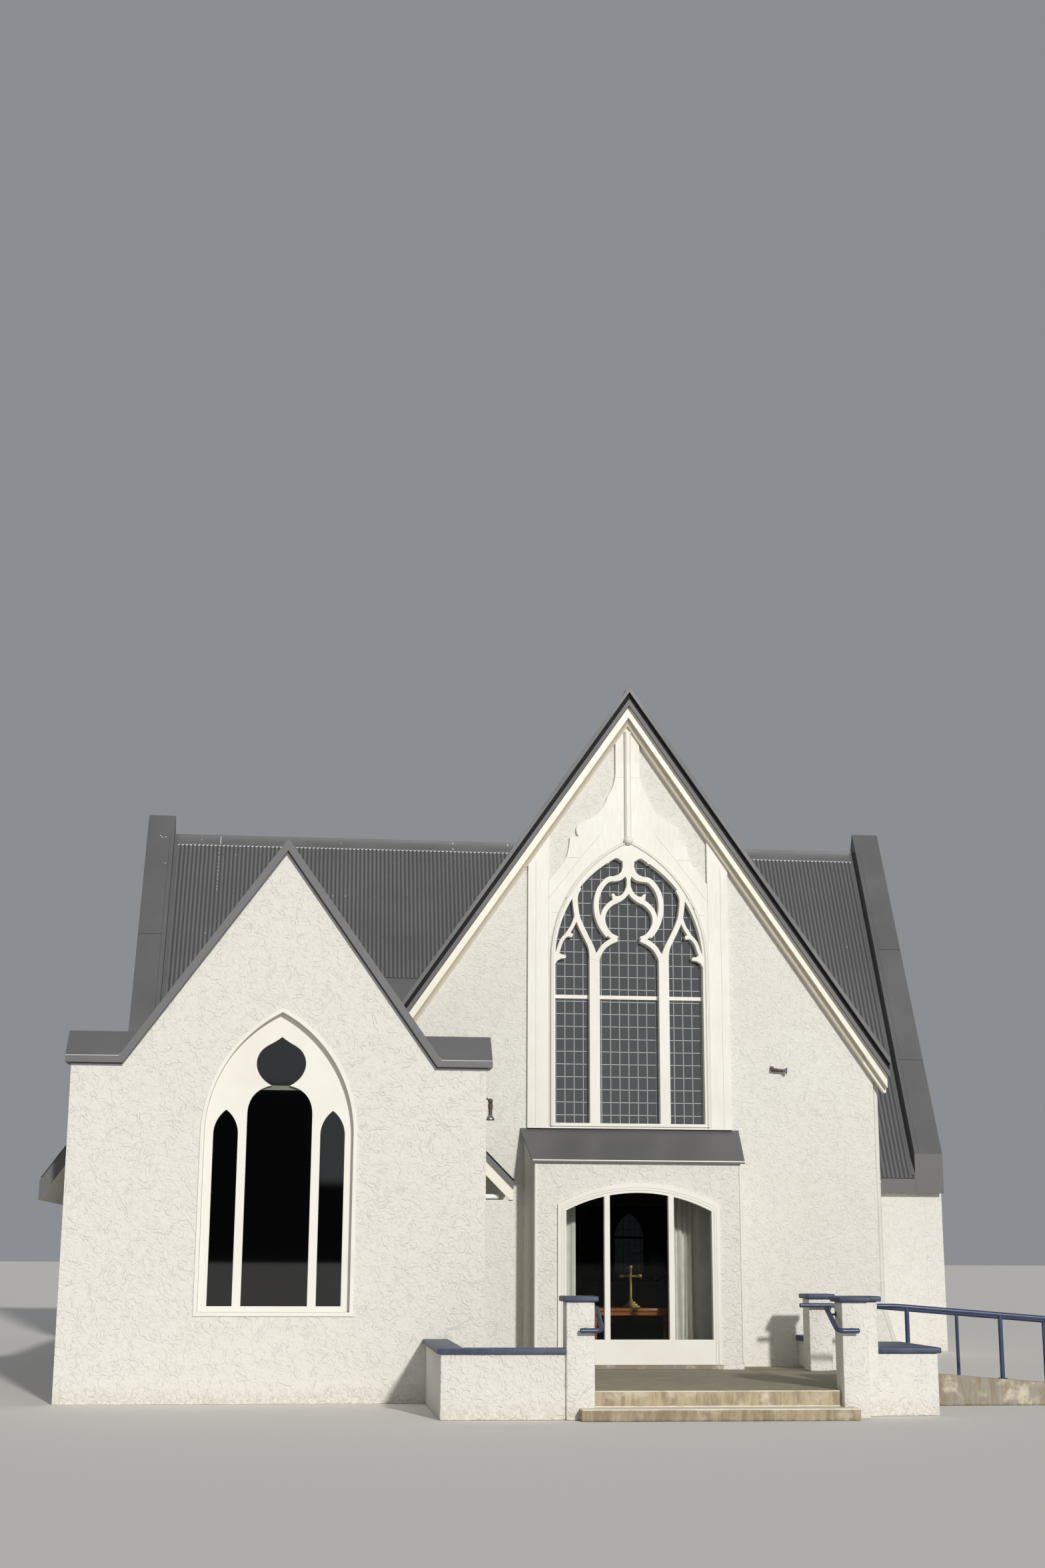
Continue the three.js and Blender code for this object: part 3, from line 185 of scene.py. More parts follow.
def noise(place, scale, detail=2.0, roughness=0.5, distortion=0.0):
    settings = {"Scale": scale, "Detail": detail, "Roughness": roughness, "Distortion": distortion}
    return node(place.id_data, "TexNoise", settings, {"Vector": place}).outputs[0]


def dress(shader, tint, height, arris=None, dull=None):
    """Gives a shader its colour and relief. arris is the radius that paint and wear round edges by."""
    tree = shader.id_data
    relief = node(tree, "Bump", {"Strength": 1.0, "Distance": 1.0}, {"Height": height})
    if arris:
        edge = node(tree, "Bevel", {"samples": 4, "Radius": arris})
        tree.links.new(edge.outputs[0], relief.inputs["Normal"])
    sources = {"Base Color": tint, "Normal": relief.outputs[0], "Roughness": dull}
    for key, source in sources.items():
        if source is not None:
            tree.links.new(source, shader.inputs[key])


# %% [markdown]
# Painted cement stucco, thrown on and worked with a trowel: smooth between raised ridges that
# wander, meet and break off, about 20 mm wide and 3 mm high. They follow the contour lines of a
# noise, so that neighbours run side by side as the strokes of a trowel do, and a second noise
# breaks them. The paint is matt. The tall gable and the nave have a closer, crinkled coat.

# %% Stucco
def strokes(place, scale, levels, width, wander):
    """Rounded winding ridges on the contour lines of a noise, broken into strokes."""
    winding = noise(place, scale, 3.0, 0.5, wander)
    beside = maths("PINGPONG", times(winding, levels), 0.5)
    line = maths("SINE", times(ramp(beside, width, 0.0), math.pi / 2))
    elsewhere = maths("ADD", place, (11.3, 5.1, 2.7), "VectorMath")
    return times(line, ramp(noise(elsewhere, scale * 2.2, 2.0), 0.36, 0.56))


def stucco_material(name, color, scale, relief):
    material, shader, place = start_material(name, color, 0.88, **{"Specular IOR Level": 0.25})
    shifted = maths("ADD", place, (3.7, 1.9, 7.3), "VectorMath")
    coarse = strokes(place, scale, 9.0, 0.26, 0.3)
    fine = strokes(shifted, scale * 1.7, 8.0, 0.3, 0.5)
    lumps = noise(place, scale * 7, 2.0, 0.5, 0.4)
    grains = noise(place, 160.0, 2.0, 0.6)
    ridges = ((coarse, 0.0044 * relief), (fine, 0.0030 * relief))
    height = layers(*ridges, (lumps, 0.0060 * relief), (grains, 0.0004))
    tint = blend(ramp(noise(place, 0.7, 3.0), 0.35, 0.7), color, "#e0ddd5")
    splash = times(ramp(component(place, 2), 0.22, 0.0), ramp(lumps, 0.35, 0.6))
    dress(shader, blend(times(splash, 0.35), tint, "#b3a48c"), height, 0.008)
    return material


STUCCO = stucco_material("trowelled white stucco", "#e0ddd6", 4.2, 1.0)
CLOSE_STUCCO = stucco_material("crinkled white stucco", "#e2e0d9", 5.6, 0.75)


# %% [markdown]
# Gloss paint on planed timber: brushed, so the film has faint streaks, and it rounds arrises.

# %% Painted timber
def paint_material(name, color, roughness, streak=(1, 1, 1), edge=0.003, second=None):
    material, shader, place = start_material(name, color, roughness)
    brushed = noise(times(place, streak, "VectorMath"), 40.0, 3.0, 0.6)
    tint = blend(ramp(noise(place, 1.7, 4.0), 0.4, 0.72), color, second or color)
    dull = ramp(brushed, 0.3, 0.7, roughness - 0.06, roughness + 0.08)
    dress(shader, tint, times(brushed, 0.0006), edge, dull)
    return material


WHITE_TRIM = paint_material("white gloss on timber", "#e7e5dd", 0.52, (1, 1, 0.12), 0.006, "#e2dfd5")
CREAM_BOARD = paint_material("cream gloss on timber", "#e9e6d9", 0.42, (0.2, 1, 0.2), 0.004, "#e4e0d0")
# the cove's cream is darkened to stand for the shade on its downward faces: painted shade
COVE_PAINT = paint_material("cream gloss darkened as painted shade", "#c8c0ab", 0.6, (0.2, 1, 0.2))
JOINT = paint_material("paint in a shadowed joint", "#c9c5b8", 0.8)
SOFFIT = paint_material("white paint on lining boards", "#dcd9d0", 0.6, (1, 0.1, 1))
BAR_PAINT = paint_material("grey green paint on a glazing bar", "#666a60", 0.6)
DOOR_PAINT = paint_material("slate blue gloss on timber", "#454f72", 0.38, (1, 1, 0.1), 0.003, "#3f4969")


# %% [markdown]
# Steel sheet with a baked grey coating: satin, with slow changes of tone from sheet to sheet,
# pale specks, and dust with painted shade at the bottom of the corrugations.

# %% Coated steel
def steel_material(name, color, light, roughness=0.5, trough_dust_and_shade=None):
    """The colour given for the troughs stands for dust and painted shade at the bottom of corrugations.
    """
    material, shader, place = start_material(name, color, roughness, **{"Specular IOR Level": 0.45})
    cloud = noise(place, 0.9, 4.0, 0.55)
    speck = noise(place, 60.0, 3.0, 0.7)
    tint = blend(ramp(cloud, 0.3, 0.75), color, light)
    tint = blend(ramp(speck, 0.68, 0.8, 0.0, 0.25), tint, "#8f8e8a")
    if trough_dust_and_shade:
        # dust and painted shade darken the bottom of each corrugation
        rise = node(place.id_data, "Attribute", {"attribute_name": "rise"}).outputs["Fac"]
        tint = blend(ramp(rise, 0.62, 0.05), tint, trough_dust_and_shade)
    dull = ramp(cloud, 0.3, 0.7, roughness - 0.05, roughness + 0.08)
    dress(shader, tint, times(cloud, 0.003), 0.003, dull)
    return material


ROOF_STEEL = steel_material("grey coated steel sheet", "#59595b", "#606062")
SHEET_STEEL = steel_material("corrugated steel sheet", "#656567", "#6b6b6d", 0.5, "#434345")
FLASHING = steel_material("grey folded flashing", "#5c5c5d", "#636364", 0.46)
COPING_STEEL = steel_material("grey folded coping", "#646465", "#6b6b6c", 0.5)
# a pale colour that stands for light caught on folds: painted highlight
FOLD_HIGHLIGHT = steel_material("painted highlight on folded steel", "#d6d7d5", "#e2e3e1", 0.4)
SEALANT = paint_material("pale sealant", "#d8d6cd", 0.7)
# a near-black colour laid where there is only shade: painted shade
DARK_GAP = paint_material("painted shade in a roof gap", "#1b1b1c", 0.9)


# %% [markdown]
# Weathered concrete: floated, so its tops are smooth. Its risers have stains that run down and a
# dark foot line. On the steps, nosings and lower tread get painted highlight; the lower riser, painted
# shade.

# %% Concrete
def facing_up(place, low, high, most=1.0):
    """How squarely a face looks up."""
    normal = node(place.id_data, "NewGeometry").outputs["Normal"]
    return ramp(component(normal, 2), low, high, 0.0, most)


def concrete_material(name, top, side, nosings):
    """nosings holds the heights of the edges that get a painted highlight, if there are any."""
    material, shader, place = start_material(name, side, 0.86, **{"Specular IOR Level": 0.3})
    up = component(place, 2)
    runs = noise(times(place, (1, 1, 0.18), "VectorMath"), 14.0, 5.0, 0.65, 0.3)
    blots = noise(place, 5.0, 5.0, 0.6)
    grit = noise(place, 220.0, 2.0, 0.7)
    stains_and_painted_light = blend(ramp(runs, 0.38, 0.62, 0.0, 0.8), side, "#8d7f68")
    stains_and_painted_light = blend(ramp(blots, 0.5, 0.72, 0.0, 0.8), stains_and_painted_light, "#d6cdb9")
    wear_and_painted_highlight = blend(ramp(blots, 0.35, 0.7), top, "#9d9682")
    if nosings:
        # below the upper step: painted shade on the lower riser, painted highlight on the lower tread
        low = ramp(up, 0.14, 0.12)
        stains_and_painted_light = blend(times(low, 0.3), stains_and_painted_light, "#6b604c")
        wear_and_painted_highlight = blend(low, wear_and_painted_highlight, "#ddd6c4")
    # a painted highlight along each nosing
    for height in nosings:
        near = maths("ABSOLUTE", maths("SUBTRACT", up, height))
        edge = times(ramp(near, 0.016, 0.004), ramp(blots, 0.3, 0.55, 0.45, 1.0))
        stains_and_painted_light = blend(edge, stains_and_painted_light, "#efe8d8")
    foot = times(ramp(up, 0.03, 0.0, 0.0, 0.6), ramp(runs, 0.3, 0.6))
    stains_and_painted_light = blend(foot, stains_and_painted_light, "#5f5443")
    tint = blend(facing_up(place, 0.5, 0.8), stains_and_painted_light, wear_and_painted_highlight)
    dress(shader, tint, layers((grit, 0.0008), (blots, 0.004)), 0.007)
    return material


CONCRETE = concrete_material("weathered concrete", "#928c79", "#b8aa8e", (0.27, 0.115))
PLAIN_CONCRETE = concrete_material("weathered plain concrete", "#aaa69b", "#9d978b", ())
PLINTH = concrete_material("grey cement plinth", "#8c8982", "#8c8982", ())


# %% [markdown]
# Slate blue paint: satin on the cast caps, where rain has greyed the tops, and enamel on the
# pipe rails.

# %% Slate blue
def cap_material():
    color = "#2c3753"
    material, shader, place = start_material("slate blue paint on cement", color, 0.5)
    cloud = noise(place, 6.0, 5.0, 0.65)
    grit = noise(place, 90.0, 3.0, 0.6)
    tint = blend(ramp(cloud, 0.35, 0.7), color, "#3f4967")
    greyed = times(facing_up(place, 0.6, 0.9, 0.7), ramp(cloud, 0.3, 0.6, 0.5, 1.0))
    dress(shader, blend(greyed, tint, "#4f586b"), layers((cloud, 0.0012), (grit, 0.0012)), 0.006)
    return material


CAP_PAINT = cap_material()
RAIL_PAINT = paint_material("slate blue enamel on pipe", "#35405e", 0.34, (1, 1, 1), 0.002, "#3d4763")
PIPE_PAINT = paint_material("off-white enamel on pipe", "#dcd9d1", 0.4, (1, 1, 0.1), 0.002, "#cfcbc1")


# %% [markdown]
# Window glass: thin float glass. Most light goes straight through, tinted a little, and the
# surface mirrors what is outside, more at a slant. It is drawn as a mix, as panes this thin
# don't bend light to the eye. Small panes in lead each lean a little, so each mirrors its own
# patch of sky.

# %% Glass
def glass_material(name, tint, gloss, pane=None, lean=0.0):
    material, tree = empty_material(name)
    through = node(tree, "BsdfTransparent", {"Color": linear(tint)})
    mirror = node(tree, "BsdfGlossy", {"Color": (1, 1, 1, 1), "Roughness": 0.02})
    if pane:
        place = node(tree, "TexCoord").outputs["Object"]
        whole = maths("FLOOR", maths("DIVIDE", place, pane, "VectorMath"), None, "VectorMath")
        chance = node(tree, "TexWhiteNoise", {"noise_dimensions": "3D"}, {"Vector": whole})
        centred = maths("SUBTRACT", chance.outputs["Color"], (0.5, 0.5, 0.5), "VectorMath")
        small = times(centred, (lean, lean, lean), "VectorMath")
        facing = node(tree, "NewGeometry").outputs["Normal"]
        tilted = maths("NORMALIZE", maths("ADD", facing, small, "VectorMath"), None, "VectorMath")
        tree.links.new(tilted, mirror.inputs["Normal"])
    share = times(node(tree, "Fresnel", {"IOR": 1.52}).outputs[0], gloss)
    mix = node(tree, "MixShader", links={0: share, 1: through.outputs[0], 2: mirror.outputs[0]})
    node(tree, "OutputMaterial", links={"Surface": mix.outputs[0]})
    return material


LEAD_ACROSS, LEAD_UP = 0.1145, 0.1553  # the size of one leaded pane
CLEAR_GLASS = glass_material("clear float glass", "#f3f4f3", 0.12)
LEADED_GLASS = glass_material("leaded glass", "#777c7b", 4.0, (LEAD_ACROSS, 9, LEAD_UP), 0.012)
DARK_GLASS = glass_material("smoked glass", "#565b5d", 1.6)

# %% [markdown]
# Lead cames, weathered to a pale grey. Brass under lacquer, its colour darkened as painted shade. Oak,
# varnished to a warm orange brown, with grain along the boards.

# %% Lead, brass, oak
LEAD = start_material("weathered lead came", "#b4b7b7", 0.6)[0]
# the brass is coloured dark as painted shade
BRASS = start_material("lacquered brass", "#574a2b", 0.4, Metallic=1.0)[0]
BRONZE = start_material("dark bronze enamel", "#4a3a32", 0.45)[0]
SILVER = start_material("silvered lamp bowl", "#b9bdbf", 0.28, Metallic=1.0)[0]
LENS = start_material("frosted lamp lens", "#eef0ee", 0.25)[0]


def oak_material():
    material, shader, place = start_material("varnished oak", "#9a5a26", 0.32)
    drawn = times(place, (0.08, 1, 1), "VectorMath")
    grain = noise(drawn, 60.0, 6.0, 0.65, 0.6)
    rings = noise(drawn, 14.0, 2.0, 0.5, 1.4)
    tint = blend(ramp(rings, 0.35, 0.65), "#a8642b", "#84481c")
    tint = blend(ramp(grain, 0.5, 0.75, 0.0, 0.7), tint, "#5f3212")
    dress(shader, tint, times(grain, 0.0006), 0.003)
    return material


OAK = oak_material()


# %% [markdown]
# Curtain cloth: a plain weave of off-white cotton, matt. The threads are drawn at 4 mm, coarser
# than real ones, so that they show at all.

# %% Cloth
def cloth_material():
    color = "#f1efe9"
    settings = {"Sheen Weight": 0.3, "Specular IOR Level": 0.1}
    material, shader, place = start_material("off-white cotton curtain", color, 0.95, **settings)
    threads = [maths("SINE", times(component(place, i), 2 * math.pi / 0.004)) for i in (0, 2)]
    tint = blend(ramp(noise(place, 9.0, 3.0), 0.3, 0.7), color, "#e8e5db")
    dress(shader, tint, times(times(*threads), 0.0002))
    return material


CLOTH = cloth_material()

# %% [markdown]
# ## Making meshes
#
# One small class gathers shapes into a mesh, so that hundreds of leads or screws are one piece.

# %% Mesh builder
SHARP_ANGLE = math.radians(38)  # edges steeper than this stay sharp
BOX_FACES = ((0, 2, 3, 1), (4, 5, 7, 6), (0, 1, 5, 4), (2, 6, 7, 3), (0, 4, 6, 2), (1, 3, 7, 5))


def place_on(axis, u, v, deep):
    """A point from a facade's own two directions and its depth."""
    return (u, deep, v) if axis == "y" else (deep, u, v)


def circle(centre, across, over, radius, sides):
    """Points around a centre, in the plane of two directions."""
    turns = [2 * math.pi * k / sides for k in range(sides)]
    return [centre + radius * (math.cos(t) * across + math.sin(t) * over) for t in turns]


def put(name, data):
    """A new object in the scene."""
    made = bpy.data.objects.new(name, data)
    bpy.context.scene.collection.objects.link(made)
    return made


class Builder:
    def __init__(self):
        self.points = []
        self.faces = []

    def add(self, points, faces):
        base = len(self.points)
        self.points += [tuple(p) for p in points]
        self.faces += [tuple(base + i for i in face) for face in faces]

    def box(self, low, high):
        (x0, y0, z0), (x1, y1, z1) = low, high
        self.add([(x, y, z) for z in (z0, z1) for y in (y0, y1) for x in (x0, x1)], BOX_FACES)

    def skin(self, rows, closed, more=()):
        """Faces between neighbouring rows of points, which join end to end if they are closed."""
        count = len(rows[0])
        faces = []
        for r in range(len(rows) - 1):
            for i in range(count if closed else count - 1):
                a, b = r * count + i, r * count + (i + 1) % count
                faces.append((a, b, b + count, a + count))
        self.add([p for row in rows for p in row], faces + list(more))

    def strip(self, rows):
        """A surface through rows of points."""
        self.skin(rows, False)

    def loft(self, loops):
        """A skin over closed loops of points, with flat ends."""
        count = len(loops[0])
        last = (len(loops) - 1) * count
        self.skin(loops, True, (tuple(range(count))[::-1], tuple(range(last, last + count))))

    def prism(self, outline, axis, start, end):
        self.loft([[place_on(axis, u, v, deep) for u, v in outline] for deep in (start, end)])

    def ring(self, outer, inner, axis, start, end):
        """A frame between two outlines that have the same number of points."""
        lines = ((start, outer), (start, inner), (end, inner), (end, outer))
        loops = [[place_on(axis, u, v, deep) for u, v in line] for deep, line in lines]
        count = len(outer)
        back = [(3 * count + i, 3 * count + (i + 1) % count, (i + 1) % count, i) for i in range(count)]
        self.skin(loops, True, back)

    def tube(self, path, radius, sides=12):
        """A round bar along a path."""
        loops = []
        path = [Vector(p) for p in path]
        for i, spot in enumerate(path):
            before, after = path[max(i - 1, 0)], path[min(i + 1, len(path) - 1)]
            along = (after - before).normalized()
            aside = Vector((0, 1, 0)) if abs(along.z) > 0.9 else Vector((0, 0, 1))
            across = along.cross(aside).normalized()
            loops.append(circle(spot, across, along.cross(across), radius, sides))
        self.loft(loops)

    def lathe(self, profile, centre, axis, sides=24):
        """A turned piece: profile holds (distance along the axis, radius)."""
        along = Vector(axis).normalized()
        across = along.cross(Vector((0.3, 0.9, 0.2))).normalized()
        over = along.cross(across)
        middle = Vector(centre)
        self.loft([circle(middle + along * far, across, over, r, sides) for far, r in profile])

    def ribbon(self, path, width, axis, deep, thick=0.001):
        """A flat strip of even width that follows a path on a facade."""
        outer, inner = [], []
        for i, (u, v) in enumerate(path):
            (u0, v0), (u1, v1) = path[max(i - 1, 0)], path[min(i + 1, len(path) - 1)]
            length = math.hypot(u1 - u0, v1 - v0)
            side = (-(v1 - v0) / length * width / 2, (u1 - u0) / length * width / 2)
            outer.append((u + side[0], v + side[1]))
            inner.append((u - side[0], v - side[1]))
        self.prism(outer + inner[::-1], axis, deep - thick, deep)

    def piece(self, name, material, slot, smooth=False, tidy=True):
        mesh = bpy.data.meshes.new(name)
        mesh.from_pydata(self.points, [], self.faces)
        if tidy:
            work = bmesh.new()
            work.from_mesh(mesh)
            bmesh.ops.recalc_face_normals(work, faces=work.faces)
            work.to_mesh(mesh)
            work.free()
        mesh.materials.append(material)
        if smooth:
            mesh.polygons.foreach_set("use_smooth", [True] * len(mesh.polygons))
            mesh.set_sharp_from_angle(angle=SHARP_ANGLE)
        made = put(name, mesh)
        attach(made, "root")
        return made


# %% [markdown]
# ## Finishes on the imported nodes
#
# Each node that stays gets its finish. Roof slabs get three: sheet on top, a painted soffit
# below and folded steel on the ends.


# %% Node finishes
FINISHES = {
    STUCCO: "bay_walls wing_front_wall wing_left_wall wing_right_wall",
    CLOSE_STUCCO: (
        "gable_front_wall gable_left_wall gable_right_wall lean_to_wall nave_front_wall "
        "nave_back_wall nave_end_wall_left nave_end_wall_right"
    ),
    WHITE_TRIM: (
        "gable_face_boards gable_tracery bay_window_frame wing_window_surround wing_window_panel"
    ),
    CREAM_BOARD: "gable_bargeboards lean_to_bargeboard",
    FLASHING: "bay_roof nave_parapet_left nave_parapet_right",
    COPING_STEEL: "wing_coping",
    PLAIN_CONCRETE: "floor_slab",
    DOOR_PAINT: "entrance_door",
    LEADED_GLASS: (
        "gable_window_glass hall_side_glass wing_side_glass nave_front_glass nave_back_glass "
        "nave_end_glass_left nave_end_glass_right"
    ),
    DARK_GLASS: "wing_window_glass",
    CLEAR_GLASS: "bay_window_glass",
}


def finish(name, *materials):
    """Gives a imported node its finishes, and returns its mesh."""
    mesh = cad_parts[name].data
    mesh.materials.clear()
    for material in materials:
        mesh.materials.append(material)
    return mesh


for material, names in FINISHES.items():
    for name in names.split():
        finish(name, material)

for name in ("gable_roof", "wing_roof", "nave_roof", "lean_to_roof"):
    mesh = finish(name, ROOF_STEEL, SOFFIT, FLASHING)
    for face in mesh.polygons:
        face.material_index = 0 if face.normal.z > 0.2 else 1 if face.normal.z < -0.2 else 2


# %% [markdown]
# Small pieces whose arrises show get real ones: a copy of the node's solid with its vertices
# merged and its edges bevelled stands for the node.

# %% Bevelled copies
def softened(name, material, slot, width, segments):
    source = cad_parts[name]
    work = bmesh.new()
    work.from_mesh(source.data)
    bmesh.ops.remove_doubles(work, verts=work.verts, dist=0.0001)
    bmesh.ops.dissolve_limit(work, angle_limit=math.radians(0.5), verts=work.verts, edges=work.edges)
    mesh = bpy.data.meshes.new(name + "_shaped")
    work.to_mesh(mesh)
    work.free()
    mesh.materials.clear()
    mesh.materials.append(material)
    made = put(name + "_shaped", mesh)
    mesh.polygons.foreach_set("use_smooth", [True] * len(mesh.polygons))
    bevel = made.modifiers.new("arrises", "BEVEL")
    bevel.width = width
    bevel.segments = segments
    bevel.limit_method = "ANGLE"
    bevel.angle_limit = SHARP_ANGLE
    bevel.harden_normals = True
    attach(made, "root")
    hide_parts(name)


SOFTENED = (
    ("pier_cap_left pier_cap_right pier_cap_back", CAP_PAINT, "slate_paint", 0.012, 3),
    ("low_wall_cap_left low_wall_cap_right low_wall_cap_back", CAP_PAINT, "slate_paint", 0.01, 3),
    ("forecourt_wall_left forecourt_wall_right forecourt_wall_back", STUCCO, "stucco", 0.012, 3),
    ("terrace_and_steps", CONCRETE, "concrete", 0.008, 2),
    ("ramp", PLAIN_CONCRETE, "concrete", 0.01, 2),
    ("communion_table", OAK, "oak", 0.004, 2),
    ("altar_cross", BRASS, "brass", 0.002, 2),
)
for names, *settings in SOFTENED:
    for name in names.split():
        softened(name, *settings)

# %% [markdown]
# ## Corrugated sheeting
#
# The sheets have the common 76.2 mm pitch and stand 17 mm high. On each slope the columns run
# from the ridge to the eave, to a valley or to the apron behind the two front ridges. Where a
# column stops is worked out from the two roof planes that meet there.

# %% Sheeting
SHEET_PITCH = 0.0762
SHEET_HEIGHT = 0.017
SHEET_STEPS = 10
SHEET_LIFT = 0.002
CREST = SHEET_LIFT + SHEET_HEIGHT  # a crest's height above the slab


def wave(along):
    return SHEET_HEIGHT * 0.5 * (1 + math.cos(2 * math.pi * along / SHEET_PITCH))


class Slope:
    """One side of a roof: a start on the ridge, the ridge's direction, and the way down."""

    def __init__(self, start, along, down):
        self.start = Vector(start)
        self.along = Vector(along).normalized()
        self.down = Vector(down).normalized()
        self.normal = self.down.cross(self.along)
        if self.normal.z < 0:
            self.normal = -self.normal

    def point(self, s, t, h=0.0):
        return self.start + self.along * s + self.down * t + self.normal * h

    def reach(self, z):
        """How far down the slope lies a given height."""
        return (self.start.z - z) / -self.down.z


def stations(length):
    """Places along a ridge, close enough together for the sheets' waves."""
    count = int(length / SHEET_PITCH * SHEET_STEPS)
    return [i * SHEET_PITCH / SHEET_STEPS for i in range(count + 1)]


def sheeting(name, slope, length, lowest, top=0.04):
    rows = [[], []]
    places = stations(length)
    for s in places:
        end = max(slope.reach(lowest(slope.point(s, 0))), top + 0.001)
        for row, t in zip(rows, (top, end)):
            row.append(slope.point(s, t, SHEET_LIFT + wave(s)))
    build = Builder()
    build.strip(rows)
    made = build.piece(name, SHEET_STEEL, "roof_metal", smooth=True, tidy=False)
    rise = made.data.attributes.new("rise", "FLOAT", "POINT")
    rise.data.foreach_set("value", [wave(s) / SHEET_HEIGHT for s in places] * 2)


GABLE_EAVE = gable_line(GABLE_REACH)
NAVE_EAVE_FRONT = nave_line(depth(9.30)) - 0.03
NAVE_EAVE_BACK = nave_line(depth(15.60)) + 0.06
VALLEY_CLEAR = 0.05


def nave_front_lowest(at):
    x = at.x
    low = NAVE_EAVE_FRONT
    if abs(x) < GABLE_REACH:
        low = max(low, gable_line(x) + VALLEY_CLEAR)
    if x < VALLEY_X:
        low = max(low, wing_line(x) + VALLEY_CLEAR)
    if WING_AXIS - 0.27 < x < -1.5:
        low = max(low, APRON_Z)
    return low


GABLE_START = depth(-0.14)  # the first crest behind the verge flashing
WING_START = depth(-1.65)
nave_front, nave_back = (
    Slope((-NAVE_HALF, NAVE_RIDGE_Y, NAVE_RIDGE), (1, 0, 0), (0, side, -NAVE_PITCH)) for side in (-1, 1)
)
gable_left, gable_right = (
    Slope((0, GABLE_START, GABLE_RIDGE), (0, 1, 0), (side, 0, -GABLE_PITCH)) for side in (-1, 1)
)
wing_left, wing_right = (
    Slope((WING_AXIS, WING_START, WING_RIDGE), (0, 1, 0), (side, 0, -WING_PITCH)) for side in (-1, 1)
)
LEAN_TO_TOP = wing_line(WING_RIGHT) - 0.018
lean_to = Slope((WING_RIGHT, depth(-0.51), LEAN_TO_TOP), (0, 1, 0), (1, 0, -1))


def over_nave(low):
    """Stops a sheet either at its own lowest line or where it meets the nave's slope."""
    return lambda at: max(low(at), nave_line(at.y) + VALLEY_CLEAR)


def nave_meets(z):
    """How far back the nave's front slope stands at a height."""
    return NAVE_RIDGE_Y - (NAVE_RIDGE - z) / NAVE_PITCH


GABLE_LENGTH = nave_meets(GABLE_RIDGE) - GABLE_START
WING_LENGTH = nave_meets(WING_RIDGE) - WING_START
sheeting("nave_sheeting_front", nave_front, 2 * NAVE_HALF, nave_front_lowest)
sheeting("nave_sheeting_back", nave_back, 2 * NAVE_HALF, lambda at: NAVE_EAVE_BACK)
sheeting("gable_sheeting_left", gable_left, GABLE_LENGTH, over_nave(lambda at: VALLEY_Z + VALLEY_CLEAR))
sheeting("gable_sheeting_right", gable_right, GABLE_LENGTH, over_nave(lambda at: GABLE_EAVE - 0.03))


def wing_left_eave(at):
    """The eave starts behind the wing's front and stops in front of the nave."""
    if at.y < depth(-1.0):
        return wing_line(-6.55)
    return wing_line(-6.93) if at.y < depth(9.2) else wing_line(-6.5)


def wing_right_lowest(at):
    """The eave in front of the gable's wall, and the valley behind it."""
    return wing_line(WING_RIGHT - 0.01) if at.y < depth(-0.21) else VALLEY_Z + VALLEY_CLEAR


sheeting("wing_sheeting_left", wing_left, WING_LENGTH, over_nave(wing_left_eave))
sheeting("wing_sheeting_right", wing_right, WING_LENGTH, over_nave(wing_right_lowest))
sheeting("lean_to_sheeting", lean_to, 0.5, lambda at: LEAN_TO_TOP - 0.472, top=0.01)


# %% [markdown]
# Ridge flashings: a folded cap, 230 mm down each side, lies on the crests. Its soft lower edge
# is dressed down into the corrugations, and its turned lip is a row of dashes in painted highlight.

# %% Ridge flashings
def ridge_flashing(name, slopes, length, width):
    body, edge = Builder(), Builder()
    flat = CREST + 0.003
    for slope in slopes:
        rows = [[] for _ in range(5)]
        for s in stations(length):
            dressed = SHEET_LIFT + wave(s) + 0.003
            levels = ((0.0, flat + 0.012), (0.018, flat), (width - 0.026, flat))
            levels += ((width - 0.023, flat), (width, dressed))
            for row, (t, h) in zip(rows, levels):
                row.append(slope.point(s, t, h))
        body.strip(rows)
        for k in range(int(length / SHEET_PITCH) + 1):
            lip = [[], []]
            for u in (-0.019, -0.01, 0.0, 0.01, 0.019):
                s = k * SHEET_PITCH + u
                if 0 < s < length:
                    for row, t in zip(lip, (width - 0.004, width + 0.017)):
                        row.append(slope.point(s, t, SHEET_LIFT + wave(s) + 0.005))
            edge.strip(lip)
    body.piece(name, FLASHING, "roof_metal", smooth=True, tidy=False)
    # the lips are coloured as a painted highlight
    edge.piece(name + "_edge", FOLD_HIGHLIGHT, "roof_metal", smooth=True, tidy=False)


ridge_flashing("nave_ridge_flashing", (nave_front, nave_back), 2 * NAVE_HALF, 0.235)
ridge_flashing("gable_ridge_flashing", (gable_left, gable_right), GABLE_LENGTH - 0.05, 0.16)
ridge_flashing("wing_ridge_flashing", (wing_left, wing_right), WING_LENGTH - 0.05, 0.16)

# %% [markdown]
# Flashings beside the sheeting: a strip along each parapet, a lap on the parapet's own
# cladding, and folded strips over the valleys.

